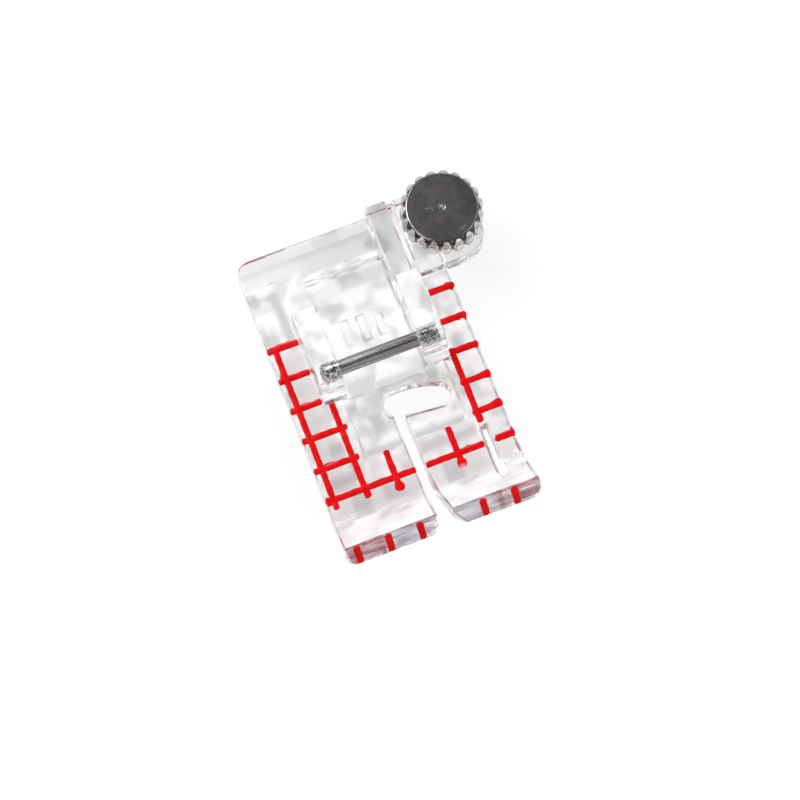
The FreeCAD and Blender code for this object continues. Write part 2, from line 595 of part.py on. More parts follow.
def add_pin_bores(body):
    """The blind bore in the left cheek and the open bore in the right cheek for the crossbar pin."""
    left = new_sketch(body, "left_bore_outline", "YZ_Plane", PIN_LEFT)
    draw_circle(left, ("Sizes.pin_y", "Sizes.pin_z"), "Sizes.pin_radius")
    add_pocket(body, "left_bore", left, "Sizes.pin_bite", reverse=True)
    right = new_sketch(body, "right_bore_outline", "YZ_Plane", CHEEK_RIGHT_INNER)
    draw_circle(right, ("Sizes.pin_y", "Sizes.pin_z"), "Sizes.spline_radius")
    add_pocket(body, "right_bore", right, "Sizes.cheek_thickness", reverse=True)


def add_paint_grooves(body):
    """The grooves that the red paint fills, in the plate's top and in the toes' end faces."""
    for side, group in (("left", (LEFT_UPRIGHTS, LEFT_CROSSLINES, LEFT_DOTS)),
                        ("right", (RIGHT_UPRIGHTS, RIGHT_CROSSLINES, RIGHT_DOTS))):
        for sketch in line_sketches(body, f"{side}_groove", *group):
            add_pocket(body, f"{sketch.Name}_cut", sketch, "Sizes.groove_depth", reverse=True)
    marks = mark_sketch(body, "toe_mark_outlines", "Sizes.toe_thickness + Sizes.cut_margin")
    add_pocket(body, "toe_mark_grooves", marks, "Sizes.mark_depth")


def make_foot_body():
    """The clear moulded foot."""
    body = new_body("foot_body")
    add_plate(body)
    add_rear_ledge(body)
    add_pocket_and_recess(body)
    add_cheek(body, "left", CHEEK_LEFT_OUTER, CHEEK_LEFT_INNER)
    add_cheek(body, "right", CHEEK_RIGHT_INNER, CHEEK_RIGHT_OUTER)
    add_fillet(body, "cheek_fronts", "Sizes.cheek_front_radius",
               lambda p: near(p.y, "Sizes.cheek_front") and near(p.z, "Sizes.cheek_top"))
    add_fillet(body, "cheek_rears", "Sizes.cheek_rear_radius",
               lambda p: near(p.y, "Sizes.cheek_rear") and near(p.z, "Sizes.cheek_top"))
    add_block(body)
    add_openings(body)
    add_pin_bores(body)
    add_paint_grooves(body)
    return body


def add_end_chamfer(body, name, size, x):
    """Chamfer the round edge of a bar along X at one end."""
    base = body.Tip
    names = [f"Edge{index}" for index, edge in enumerate(base.Shape.Edges, start=1)
             if near(edge.BoundBox.XMin, x) and near(edge.BoundBox.XMax, x)]
    chamfer = body.newObject("PartDesign::Chamfer", name)
    chamfer.Base = (base, names)
    chamfer.setExpression("Size", size)
    doc.recompute()
    return chamfer


def make_crossbar_pin():
    """The steel pin that the ankle clips onto, splined where it is pressed into the right cheek."""
    body = new_body("crossbar_pin")
    round_bar = new_sketch(body, "bar_outline", "YZ_Plane", PIN_LEFT)
    draw_circle(round_bar, ("0", "0"), "Sizes.pin_radius")
    add_pad(body, "bar", round_bar, f"{PIN_RIGHT} - {PIN_LEFT}")
    add_end_chamfer(body, "bar_chamfer", "Sizes.pin_chamfer", PIN_LEFT)
    thick = new_sketch(body, "spline_outline", "YZ_Plane", CHEEK_RIGHT_INNER)
    draw_circle(thick, ("0", "0"), "Sizes.spline_radius")
    add_pad(body, "spline_land", thick, f"{PIN_RIGHT} - {CHEEK_RIGHT_INNER}")
    groove = new_sketch(body, "spline_groove_outline", "YZ_Plane", CHEEK_RIGHT_INNER)
    draw_circle(groove, ("Sizes.spline_radius", "0"), "Sizes.spline_groove")
    cut = add_pocket(body, "spline_groove", groove, f"{PIN_RIGHT} - {CHEEK_RIGHT_INNER}", reverse=True)
    add_polar_pattern(body, "splines", cut, groove, "Sizes.spline_count")
    body.setExpression("Placement.Base.y", "Sizes.pin_y")
    body.setExpression("Placement.Base.z", "Sizes.pin_z")
    return body


def make_threaded_insert():
    """The brass insert in the screw wing, with a groove round its waist that the plastic grips."""
    body = new_body("threaded_insert")
    profile = new_sketch(body, "insert_profile", "XZ_Plane")
    bore = "Sizes.shank_radius + Sizes.shank_play"
    middle = f"({SEAT_TOP} + Sizes.wing_bottom) / 2"
    waist = "Sizes.insert_radius - Sizes.insert_waist"
    draw_polygon(profile, (
        (bore, "Sizes.wing_bottom"),
        ("Sizes.insert_radius", "Sizes.wing_bottom"),
        ("Sizes.insert_radius", f"{middle} - Sizes.insert_waist_width / 2"),
        (waist, f"{middle} - Sizes.insert_waist_width / 2"),
        (waist, f"{middle} + Sizes.insert_waist_width / 2"),
        ("Sizes.insert_radius", f"{middle} + Sizes.insert_waist_width / 2"),
        ("Sizes.insert_radius", SEAT_TOP),
        (bore, SEAT_TOP),
    ))
    add_revolution(body, "insert", profile, "V_Axis")
    body.setExpression("Placement.Base.x", SCREW_X)
    body.setExpression("Placement.Base.y", SCREW_Y)
    return body


def make_thumb_screw():
    """The turned thumb screw: knurled knob, collar that clamps the guide, and plain shank."""
    body = new_body("thumb_screw")
    profile = new_sketch(body, "screw_profile", "XZ_Plane")
    draw_polygon(profile, (
        ("0", "Sizes.shank_tip"),
        ("Sizes.shank_radius - Sizes.shank_chamfer", "Sizes.shank_tip"),
        ("Sizes.shank_radius", "Sizes.shank_tip + Sizes.shank_chamfer"),
        ("Sizes.shank_radius", COLLAR_BOTTOM),
        ("Sizes.collar_radius", COLLAR_BOTTOM),
        ("Sizes.collar_radius", KNOB_BOTTOM),
        ("Sizes.knob_radius - Sizes.knob_edge", KNOB_BOTTOM),
        ("Sizes.knob_radius", f"{KNOB_BOTTOM} + Sizes.knob_edge"),
        ("Sizes.knob_radius", f"{KNOB_TOP} - Sizes.knob_bevel"),
        ("Sizes.knob_face", KNOB_TOP),
        ("Sizes.dimple_radius", KNOB_TOP),
        ("0", f"{KNOB_TOP} - Sizes.dimple_radius"),
    ))
    add_revolution(body, "turned_form", profile, "V_Axis")
    groove = new_sketch(body, "tooth_groove_outline", offset=KNOB_TOP)
    draw_circle(groove, ("Sizes.knob_radius + Sizes.tooth_inset", "0"), "Sizes.tooth_groove")
    cut = add_pocket(body, "tooth_groove", groove, "Sizes.knob_height")
    add_polar_pattern(body, "teeth", cut, groove, "Sizes.tooth_count")
    body.setExpression("Placement.Base.x", SCREW_X)
    body.setExpression("Placement.Base.y", SCREW_Y)
    return body


def make_grid_paint(label, uprights, crosslines, dots):
    """The red paint that fills the grooves of one half of the foot."""
    body = new_body(label)
    for sketch in line_sketches(body, label, uprights, crosslines, dots):
        add_pad(body, f"{sketch.Name}_fill", sketch, "Sizes.groove_depth")
    return body


def make_toe_mark_paint():
    """The red paint that fills the marks on the toes' end faces."""
    body = new_body("toe_mark_paint")
    marks = mark_sketch(body, "toe_mark_fills", "Sizes.toe_thickness")
    add_pad(body, "toe_marks", marks, "Sizes.mark_depth", reverse=True)
    return body


def check_document():
    """Stop if any object of the document failed to compute."""
    for item in doc.Objects:
        if "Invalid" in item.State or "Error" in item.State:
            raise RuntimeError(f"{item.Name} failed: {item.State}")


def export_pieces(pieces):
    """Write each piece's solids to its own STEP file."""
    os.makedirs("parts", exist_ok=True)
    for piece in pieces:
        shape = piece.Shape
        if shape.isNull() or not shape.isValid():
            raise RuntimeError(f"{piece.Label} has no valid shape")
        shape.exportStep(f"parts/{piece.Label}.step")
        print(f"{piece.Label}: {len(shape.Solids)} solids, {shape.Volume:.3f} cubic mm")


pieces = [
    make_foot_body(),
    make_crossbar_pin(),
    make_threaded_insert(),
    make_thumb_screw(),
    make_grid_paint("left_grid_paint", LEFT_UPRIGHTS, LEFT_CROSSLINES, LEFT_DOTS),
    make_grid_paint("right_grid_paint", RIGHT_UPRIGHTS, RIGHT_CROSSLINES, RIGHT_DOTS),
    make_toe_mark_paint(),
]
doc.recompute()
check_document()
export_pieces(pieces)
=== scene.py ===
"""Looks of the clear presser foot: plastic, red paint, turned screw, ground pin, studio and camera."""

import json
import logging
import math
from dataclasses import dataclass, field
from enum import Enum

import bmesh
import bpy
from mathutils import Euler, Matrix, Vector, noise
from mathutils.bvhtree import BVHTree


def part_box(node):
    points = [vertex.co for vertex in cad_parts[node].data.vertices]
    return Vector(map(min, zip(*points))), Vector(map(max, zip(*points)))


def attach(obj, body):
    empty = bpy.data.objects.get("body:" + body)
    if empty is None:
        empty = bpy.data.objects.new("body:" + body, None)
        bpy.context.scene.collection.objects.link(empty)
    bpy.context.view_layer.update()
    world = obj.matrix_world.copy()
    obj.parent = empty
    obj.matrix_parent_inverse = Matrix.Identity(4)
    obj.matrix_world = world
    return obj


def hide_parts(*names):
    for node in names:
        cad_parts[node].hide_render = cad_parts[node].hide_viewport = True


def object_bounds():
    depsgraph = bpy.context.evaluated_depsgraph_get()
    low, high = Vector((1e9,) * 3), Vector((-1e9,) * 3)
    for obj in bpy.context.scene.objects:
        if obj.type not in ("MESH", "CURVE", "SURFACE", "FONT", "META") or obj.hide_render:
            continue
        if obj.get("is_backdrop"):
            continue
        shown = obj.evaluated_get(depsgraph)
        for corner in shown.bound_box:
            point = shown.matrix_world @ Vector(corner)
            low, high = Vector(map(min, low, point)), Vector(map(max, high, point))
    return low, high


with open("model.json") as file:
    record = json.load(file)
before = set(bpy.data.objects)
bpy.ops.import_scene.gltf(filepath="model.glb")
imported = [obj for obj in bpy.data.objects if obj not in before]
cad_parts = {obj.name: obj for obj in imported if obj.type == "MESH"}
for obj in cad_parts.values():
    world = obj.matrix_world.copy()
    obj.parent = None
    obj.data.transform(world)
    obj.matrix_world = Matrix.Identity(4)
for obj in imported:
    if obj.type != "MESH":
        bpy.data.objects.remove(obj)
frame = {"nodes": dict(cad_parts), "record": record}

MM = 0.001
LOG = logging.getLogger("presser_foot")

Color = tuple[float, float, float, float]
Triple = tuple[float, float, float]
Span = tuple[float, float]
Socket = bpy.types.NodeSocket
Material = bpy.types.Material
BMesh = bmesh.types.BMesh


def record_bounds(name: str, store: dict[str, list[list[float]]]) -> None:
    """Keep the object's present box under a name.

    Args:
        store: the boxes kept so far.
    """
    low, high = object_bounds()
    store[name] = [list(map(float, low)), list(map(float, high))]


def grey(level: float) -> Color:
    """An even, opaque grey."""
    return (level, level, level, 1.0)


class NodeTree:
    """The node tree of a new material or world, with short ways to add and link its nodes."""

    def __init__(self, name: str, for_world: bool = False) -> None:
        """Start with an output node alone.

        Args:
            name: the material's or world's name.
            for_world: whether it is a world.
        """
        self.owner = (bpy.data.worlds if for_world else bpy.data.materials).new(name)
        self.owner.use_nodes = True
        self.nodes = self.owner.node_tree.nodes
        self.links = self.owner.node_tree.links
        self.nodes.clear()
        self.output = self.add("OutputWorld" if for_world else "OutputMaterial")

    def add(self, kind: str, **settings: object) -> bpy.types.Node:
        """Add a node and set its properties and input values.

        Args:
            kind: the node's type without its ShaderNode prefix.
            settings: properties, or input sockets by name with spaces as underscores.

        Returns:
            The new node.
        """
        node = self.nodes.new(f"ShaderNode{kind}")
        for key, value in settings.items():
            socket = next((s for s in node.inputs if s.name.replace(" ", "_") == key), None)
            if hasattr(node, key):
                setattr(node, key, value)
            elif socket is not None:
                socket.default_value = value
            else:
                raise KeyError(f"{kind} has no {key}")
        return node

    def join(self, kind: str, *values: object, **settings: object) -> Socket:
        """Add a node and fill its inputs in their order.

        Args:
            kind: the node's type without its ShaderNode prefix.
            values: for each input a socket to link, or a value to set.
            settings: what the node's properties are set to.

        Returns:
            The node's first output.
        """
        node = self.add(kind, **settings)
        for entry, value in zip(node.inputs, values):
            if isinstance(value, Socket):
                self.links.new(value, entry)
            else:
                entry.default_value = value
        return node.outputs[0]

    def object_coordinates(self, scale: Triple, shift: Triple = (0.0, 0.0, 0.0)) -> Socket:
        """Object coordinates through a mapping.

        Args:
            scale: the mapping's scale along each axis.
            shift: what is added after the scale.

        Returns:
            The mapped vector.
        """
        mapping = self.add("Mapping", Scale=scale, Location=shift)
        self.links.new(self.add("TexCoord").outputs["Object"], mapping.inputs["Vector"])
        return mapping.outputs["Vector"]

    def split(self, vector: Socket) -> tuple[Socket, ...]:
        """The parts of a vector along the three axes."""
        parts = self.add("SeparateXYZ")
        self.links.new(vector, parts.inputs[0])
        return tuple(parts.outputs)

    def length(self, vector: Socket) -> Socket:
        """How long a vector is."""
        node = self.add("VectorMath", operation="LENGTH")
        self.links.new(vector, node.inputs[0])
        return node.outputs["Value"]

    def noise_level(self, scale: Triple, detail: float, roughness: float = 0.5) -> Socket:
        """A level that swings unevenly from place to place.

        Args:
            scale: how close the swings are along each axis, to the metre.
            detail: how many finer layers lie on the first.
            roughness: how strong the finer layers are.

        Returns:
            The level.
        """
        node = self.add("TexNoise", Scale=1.0, Detail=detail, Roughness=roughness)
        self.links.new(self.object_coordinates(scale), node.inputs["Vector"])
        return node.outputs["Fac"]

    def ramp(self, level: Socket, *stops: tuple[float, Color], interpolation: str = "LINEAR") -> Socket:
        """A colour that follows a level.

        Args:
            level: the level.
            stops: positions with their colours, rising.
            interpolation: how the colours blend.

        Returns:
            The colour.
        """
        node = self.add("ValToRGB")
        node.color_ramp.interpolation = interpolation
        elements = node.color_ramp.elements
        first, *middle, last = stops
        for element, (position, color) in zip(elements, (first, last)):
            element.position = position
            element.color = color
        for position, color in middle:
            elements.new(position).color = color
        self.links.new(level, node.inputs["Fac"])
        return node.outputs["Color"]

    def bump(self, height: Socket, distance: float, under: Socket | None = None) -> Socket:
        """A bump normal from a height.

        Args:
            height: the height socket.
            distance: the height in metres that a value of 1 stands for.
            under: a normal that the bump lies on.

        Returns:
            The normal socket.
        """
        node = self.add("Bump", Distance=distance, Strength=1.0)
        self.links.new(height, node.inputs["Height"])
        if under is not None:
            self.links.new(under, node.inputs["Normal"])
        return node.outputs["Normal"]

    def principled(self, color: Socket, normal: Socket, **settings: float) -> Socket:
        """A principled shader.

        Args:
            color: its base colour.
            normal: its normal.
            settings: values of its other inputs.

        Returns:
            The shader.
        """
        shader = self.add("BsdfPrincipled", **settings)
        self.links.new(color, shader.inputs["Base Color"])
        self.links.new(normal, shader.inputs["Normal"])
        return shader.outputs["BSDF"]

    def finished(self, shader: Socket) -> bpy.types.ID:
        """The material or world, once its shader is joined to the output."""
        self.links.new(shader, self.output.inputs["Surface"])
        return self.owner


@dataclass(frozen=True)
class Patch:
    """A soft-edged box, in millimetres, where a finish has another colour: painted shade, painted light, a
    painted highlight or reflection, or a pale streak.
    """

    x_range: Span
    y_range: Span
    color: Color
    z_range: Span = (-1.0, 10.0)
    fade: float = 0.25

    def lay(self, tree: NodeTree, color: Socket) -> Socket:
        """Lay the patch over a colour.

        Args:
            tree: the material's nodes.
            color: the colour under the patch.

        Returns:
            The colour with the patch.
        """
        spans = [(low * MM, high * MM) for low, high in (self.x_range, self.y_range, self.z_range)]
        centre = [(low + high) / 2 for low, high in spans]
        half = [(high - low) / 2 for low, high in spans]
        fade = self.fade * MM
        place = tree.object_coordinates((1.0, 1.0, 1.0))
        offset = tree.join("VectorMath", place, centre, operation="SUBTRACT")
        away = tree.join("VectorMath", offset, operation="ABSOLUTE")
        across, along, up = tree.split(tree.join("VectorMath", away, half, operation="SUBTRACT"))
        planar = tree.join("Math", across, along, operation="MAXIMUM")
        farthest = tree.join("Math", planar, up, operation="MAXIMUM")
        share = tree.join("MapRange", farthest, -fade, fade, 1.0, 0.0, interpolation_type="SMOOTHSTEP")
        return tree.join("MixRGB", share, color, self.color)


# Colours of the patches below: greys of painted shade and light, pink for painted highlights, and a pale
# grey for streaks.
GREY = (0.66, 0.65, 0.65, 1.0)
PALE_GREY = (0.84, 0.83, 0.83, 1.0)
MIDDLE_GREY = grey(0.6)
DARK_GREY = grey(0.3)
DEEP_GREY = grey(0.25)
HIGHLIGHT_PINK = (0.82, 0.22, 0.28, 1.0)
PALE_STREAK = (0.42, 0.41, 0.4, 1.0)
NICKEL_SHINE = (0.9, 0.89, 0.87, 1.0)
NICKEL_TEETH = (0.78, 0.77, 0.75, 1.0)
# The knob's face is the same nickel, painted dark to stand for the dark reflection it shows from overhead.
NICKEL_FACE_PAINTED_DARK = (0.14, 0.133, 0.127, 1.0)
TOE_FACE = (-14.0, -11.0)
CHEEK_TOP = (5.5, 9.0)
REAR_EDGE = (1.8, 3.2)
REAR_WALL = (1.5, 3.2)

# Painted shade on the clear body, standing for shadow on the floor seen through the plastic. The dark grey
# strip low on the needle hole's rear wall is a painted contact shadow. The last two are dark red painted
# reflections of the lines, with painted shade, on the rear wall.
BODY_PAINTED_SHADE = (
    Patch((-8.1, -7.2), (9.0, 15.5), GREY, fade=0.35),
    Patch((-10.0, -8.6), (13.6, 14.6), PALE_GREY, fade=0.5),
    Patch((-10.2, 3.4), (17.6, 18.9), PALE_GREY, fade=0.3),
    Patch((-2.4, 0.3), (17.6, 19.0), GREY, (1.9, 3.2), 0.3),
    Patch((-7.6, -6.0), (-4.9, -3.8), GREY, fade=0.3),
    Patch((-5.0, -1.1), (-5.2, -4.0), PALE_GREY, fade=0.4),
    Patch((-0.1, 5.8), (-5.1, -3.9), GREY, fade=0.35),
    Patch((0.0, 5.3), (-3.5, -2.6), GREY, fade=0.35),
    Patch((-5.4, -1.1), (-3.5, -2.7), GREY, fade=0.35),
    Patch((-3.4, -2.2), (-1.6, 0.6), GREY, fade=0.35),
    Patch((-5.1, -4.1), (1.2, 2.2), GREY, fade=0.3),
    Patch((-4.2, -1.6), (2.7, 4.4), GREY, fade=0.3),
    Patch((-2.0, 4.9), (0.9, 2.4), DARK_GREY, (0.45, 0.95), 0.06),
    Patch((-9.2, -6.9), (-4.3, 9.2), PALE_GREY, fade=0.4),
    Patch((-8.1, -6.7), (-2.3, -0.9), GREY, fade=0.3),
    Patch((-9.0, -6.7), (-5.5, -4.5), GREY, fade=0.4),
    Patch((-1.4, 3.1), (2.3, 3.6), GREY, fade=0.3),
    Patch((-10.4, 9.4), (-8.95, -5.6), PALE_GREY),
    Patch((-7.9, -6.2), (-8.8, -6.2), GREY, fade=0.3),
    Patch((-4.7, -2.7), (-8.1, -6.4), GREY, fade=0.3),
    Patch((1.4, 3.2), (-8.8, -6.2), GREY, fade=0.3),
    Patch((-9.9, -7.0), (18.82, 19.6), (0.26, 0.04, 0.07, 1.0), REAR_WALL, 0.08),
    Patch((-7.2, -5.0), (18.88, 19.6), (0.22, 0.15, 0.18, 1.0), REAR_WALL, 0.08),
)
# Painted marks on the rounded edges: dark red painted reflections of the lines along the rear top edge,
# painted shade on the cheeks' top rear edges, and a painted contact shadow round the wing's bottom edges.
EDGE_PAINTED_SHADE = (
    Patch((-11.0, -7.2), (18.4, 19.6), (0.26, 0.03, 0.05, 1.0), REAR_EDGE),
    Patch((-7.4, -4.9), (18.4, 19.6), (0.2, 0.14, 0.16, 1.0), REAR_EDGE),
    Patch((-6.9, -4.6), (10.45, 11.4), DEEP_GREY, CHEEK_TOP, 0.1),
    Patch((3.3, 5.9), (10.45, 11.4), DEEP_GREY, CHEEK_TOP, 0.1),
    Patch((8.9, 14.4), (9.0, 17.5), DARK_GREY, (0.0, 0.4), 0.03),
)
# Painted red reflections of the crosslines, in bands across the toes' end faces.
TOE_FACE_RED_REFLECTIONS = (
    Patch((-8.8, -5.8), TOE_FACE, (0.5, 0.05, 0.07, 1.0), (5.42, 5.62), 0.06),
    Patch((5.1, 9.3), TOE_FACE, (0.5, 0.07, 0.1, 1.0), (5.46, 5.6), 0.06),
    Patch((-8.7, -6.3), TOE_FACE, (0.4, 0.06, 0.09, 1.0), (4.68, 4.76), 0.06),
    Patch((5.4, 8.6), TOE_FACE, (0.4, 0.08, 0.12, 1.0), (4.82, 4.92), 0.08),
)
# Painted pink highlights along the rear edges of some red lines.
PAINTED_LINE_HIGHLIGHTS = (
    Patch((-9.6, -7.7), (9.8, 9.85), HIGHLIGHT_PINK, fade=0.05),
    Patch((-9.1, -8.0), (6.6, 6.64), HIGHLIGHT_PINK, fade=0.05),
    Patch((-9.0, -7.6), (3.42, 3.46), HIGHLIGHT_PINK, fade=0.05),
    Patch((-9.0, -7.9), (-2.98, -2.93), HIGHLIGHT_PINK, fade=0.05),
    Patch((3.6, 5.2), (-6.13, -6.1), HIGHLIGHT_PINK, fade=0.05),
    Patch((7.2, 8.6), (-6.04, -5.98), HIGHLIGHT_PINK, fade=0.06),
    Patch((2.9, 3.4), (-7.9, -7.5), HIGHLIGHT_PINK, fade=0.14),
)
# Pale streaks on the knob's dark face; the last two are painted highlights.
KNOB_STREAKS_AND_HIGHLIGHTS = (
    Patch((8.5, 9.0), (15.98, 16.02), PALE_STREAK, fade=0.05),
    Patch((9.1, 9.14), (15.6, 15.9), PALE_STREAK, fade=0.05),
    Patch((10.9, 11.3), (12.96, 13.0), PALE_STREAK, fade=0.06),
    Patch((11.3, 11.5), (13.1, 13.14), PALE_STREAK, fade=0.05),
)
PIP_SHADE = (Patch((9.96, 10.14), (15.56, 15.74), grey(0.02), fade=0.04),)


class PlasticLook(Enum):
    """The finishes of the moulded plastic, each for some of its faces."""

    PLAIN = "clear_plastic"
    EDGE = "clear_plastic_edge"
    MILLED = "clear_plastic_milled"
    BRIGHT = "clear_plastic_bright"
    RAIL = "clear_plastic_rail"
    LEDGE = "clear_plastic_ledge"
    RED_REFLECTION = "clear_plastic_reddened"


@dataclass(frozen=True)
class ClearPlastic:
    """Clear moulded plastic: near-colourless, polished and a little wavy from the mould, with soft patches
    of painted shade in its colour.
    """

    look: PlasticLook = PlasticLook.PLAIN
    tint: Color = (0.99, 0.995, 1.0, 1.0)
    painted_shade: Color = grey(0.59)
    shade: Color = grey(0.88)
    transmission: float = 1.0
    ior: float = 1.49
    roughness: float = 0.015
    painted_shade_scale: Triple = (380.0, 380.0, 380.0)
    painted_shade_share: Span = (0.36, 0.5)
    painted_shade_detail: float = 1.5
    painted_shade_roughness: float = 0.4
    wave_scale: Triple = (380.0, 380.0, 380.0)
    wave_height: float = 0.03 * MM
    grain_scale: float = 2600.0
    grain_height: float = 0.0015 * MM
    patches: tuple[Patch, ...] = ()

    def build(self) -> Material:
        """Build the material.

        Returns:
            The clear plastic, which lets shadow rays through.
        """
        tree = NodeTree(self.look.value)
        # Painted shade: the colour swings in soft patches between the tint and a darker grey.
        shade_level = tree.noise_level(self.painted_shade_scale, self.painted_shade_detail, self.painted_shade_roughness)
        color = tree.ramp(shade_level, (self.painted_shade_share[0], self.painted_shade), (self.painted_shade_share[1], self.tint))
        # The listed patches of painted shade, painted light and painted reflection.
        for patch in self.patches:
            color = patch.lay(tree, color)
        grain = tree.bump(tree.noise_level((self.grain_scale,) * 3, 3.0), self.grain_height)
        waves = tree.bump(tree.noise_level(self.wave_scale, 1.0), self.wave_height, grain)
        shader = tree.principled(
            color, waves, Roughness=self.roughness, IOR=self.ior, Transmission_Weight=self.transmission
        )
        clear = tree.join("BsdfTransparent", self.shade)
        shadow = tree.add("LightPath").outputs["Is Shadow Ray"]
        return tree.finished(tree.join("MixShader", shadow, shader, clear))


@dataclass(frozen=True)
class RedPaint:
    """Red filling paint, darker in places, with painted pale highlights along some lines' rear edges."""

    bright: Color = (0.74, 0.005, 0.006, 1.0)
    deep: Color = (0.56, 0.002, 0.003, 1.0)
    deep_share: Span = (0.35, 0.65)
    roughness: float = 0.24
    gloss: float = 0.12
    patch_scale: float = 1400.0
    relief: float = 0.04 * MM

    def build(self) -> Material:
        """Build the material.

        Returns:
            The red paint.
        """
        tree = NodeTree("red_paint")
        patches = tree.noise_level((self.patch_scale,) * 3, 3.0)
        color = tree.ramp(patches, (self.deep_share[0], self.deep), (self.deep_share[1], self.bright))
        # Lay the painted highlights.
        for gleam in PAINTED_LINE_HIGHLIGHTS:
            color = gleam.lay(tree, color)
        normal = tree.bump(patches, self.relief)
        return tree.finished(
            tree.principled(color, normal, Roughness=self.roughness, Specular_IOR_Level=self.gloss)
        )


class MetalKind(Enum):
    """The metals that are pressed into the plastic."""

    PIN_STEEL = "pin_steel"
    BRASS = "brass"


@dataclass(frozen=True)
class TurnedMetal:
    """A turned or ground metal: rings or streaks left by the tool, with uneven tarnish; on the pin the
    near-black streaks are also painted reflections.
    """

    kind: MetalKind
    color: Color
    dark: Color
    roughness: float
    streak_scale: Triple
    streak_height: float
    free_span: Span | None = None
    dark_share: Span = (0.35, 0.7)
    blotch_scale: float = 3800.0
    blotch_share: Span = (0.42, 0.52)
    blotch_shade: Color = grey(0.13)
    blotch_glint: Color = (0.8, 0.8, 0.79, 1.0)

    def glinting_ends(self, tree: NodeTree, color: Socket) -> Socket:
        """Painted glints and black painted shade, in blotches, on the ends that sit in the plastic outside
        the free span.

        Args:
            tree: the material's nodes.
            color: the colour of the free span.

        Returns:
            The colour of the whole piece.
        """
        across = tree.split(tree.object_coordinates((1.0, 1.0, 1.0)))[0]
        right_of = tree.join("Math", across, self.free_span[0], operation="GREATER_THAN")
        left_of = tree.join("Math", across, self.free_span[1], operation="LESS_THAN")
        free = tree.join("Math", right_of, left_of, operation="MULTIPLY")
        blotches = tree.noise_level((self.blotch_scale,) * 3, 2.0)
        low, high = self.blotch_share
        glints_and_shade = tree.ramp(blotches, (low, self.blotch_shade), (high, self.blotch_glint))
        return tree.join("MixRGB", free, glints_and_shade, color)

    def build(self) -> Material:
        """Build the material.

        Returns:
            The metal.
        """
        tree = NodeTree(self.kind.value)
        streaks = tree.noise_level(self.streak_scale, 4.0, 0.6)
        color = tree.ramp(streaks, (self.dark_share[0], self.dark), (self.dark_share[1], self.color))
        # The pin's ends in the plastic get painted glints and painted shade.
        if self.free_span is not None:
            color = self.glinting_ends(tree, color)
        normal = tree.bump(streaks, self.streak_height)
        return tree.finished(tree.principled(color, normal, Metallic=1.0, Roughness=self.roughness))


@dataclass(frozen=True)
class LatheFinish:
    """Plated steel with the fine rings that the lathe tool left round one axis, and soft patches between
    its light and dark colour; on the knob's sides these are painted reflections.
    """

    name: str
    axis: Triple
    bright: Color
    dull: Color
    roughness: float = 0.24
    ring_scale: float = 9000.0
    ring_height: float = 0.0035 * MM
    patch_scale: float = 700.0
    contrast: Span = (0.4, 0.6)
    gap_count: int = 0
    gap_span: Span = (3.5 * MM, 3.78 * MM)
    gap_growth: float = 5.0 / MM
    gap_fade: Span = (0.2, 0.8)
    gap_shade: Color = (0.05, 0.0475, 0.0425, 1.0)
    patches: tuple[Patch, ...] = ()

    def shaded_gaps(self, tree: NodeTree, color: Socket, place: Socket, radius: Socket) -> Socket:
        """Paint shade into the hollows between the teeth.

        Args:
            tree: the material's nodes.
            color: the colour of the metal without the painted shade.
            place: the place seen from the axis.
            radius: its distance from the axis.

        Returns:
            The colour with painted shade in the gaps.
        """
        across, back, _ = tree.split(place)
        inner, outer = self.gap_span
        turn = tree.join("Math", back, across, operation="ARCTAN2")
        phase = tree.join("Math", turn, float(self.gap_count), operation="MULTIPLY")
        wave = tree.join("Math", phase, operation="COSINE")
        growth = self.gap_growth
        inward = tree.join("Math", radius, -growth, outer * growth, operation="MULTIPLY_ADD")
        depth = tree.join("Math", wave, inward, operation="ADD")
        hollow = tree.join("MapRange", depth, *self.gap_fade, interpolation_type="SMOOTHSTEP")
        outside = tree.join("Math", radius, inner, operation="GREATER_THAN")
        share = tree.join("Math", hollow, outside, operation="MULTIPLY")
        return tree.join("MixRGB", share, color, self.gap_shade)

    def build(self) -> Material:
        """Build the material.

        Returns:
            The turned metal.
        """
        tree = NodeTree(self.name)
        place = tree.object_coordinates((1.0, 1.0, 0.0), (-self.axis[0], -self.axis[1], 0.0))
        radius = tree.length(place)
        rings = tree.add(
            "TexNoise", noise_dimensions="1D", Scale=self.ring_scale, Detail=4.0, Roughness=0.7
        )
        tree.links.new(radius, rings.inputs["W"])
        # Soft patches between the light and the dark colour; on the knob's sides they are painted
        # reflections.
        patches = tree.noise_level((self.patch_scale,) * 3, 3.0)
        total = tree.join("Math", rings.outputs["Fac"], patches, operation="ADD")
        level = tree.join("Math", total, 0.5, operation="MULTIPLY")
        color = tree.ramp(level, (self.contrast[0], self.dull), (self.contrast[1], self.bright))
        # Painted shade between the teeth.
        if self.gap_count:
            color = self.shaded_gaps(tree, color, place, radius)
        for patch in self.patches:
            color = patch.lay(tree, color)
        normal = tree.bump(rings.outputs["Fac"], self.ring_height)
        return tree.finished(tree.principled(color, normal, Metallic=1.0, Roughness=self.roughness))


@dataclass(frozen=True)
class Facing:
    """A finish for some faces of the moulding, by the way they look and a box round them in millimetres."""

    look: PlasticLook
    normal: Triple | None = None
    low: Triple = (-20.0, -20.0, -1.0)
    high: Triple = (20.0, 20.0, 10.0)
    on_edges: bool = False
    alignment: float = 0.995

    def covers(self, face: bpy.types.MeshPolygon) -> bool:
        """Whether the finish belongs on a face.

        Args:
            face: one face of the moulding.

        Returns:
            True where the face looks the facing's way and lies in its box.
        """
        if self.normal is not None and face.normal.dot(Vector(self.normal)) < self.alignment:
            return False
        spans = zip(self.low, face.center, self.high)
        return all(low * MM < place < high * MM for low, place, high in spans)


UPWARD = (0.0, 0.0, 1.0)
TOE_FRONT = (0.0, -0.695, 0.719)


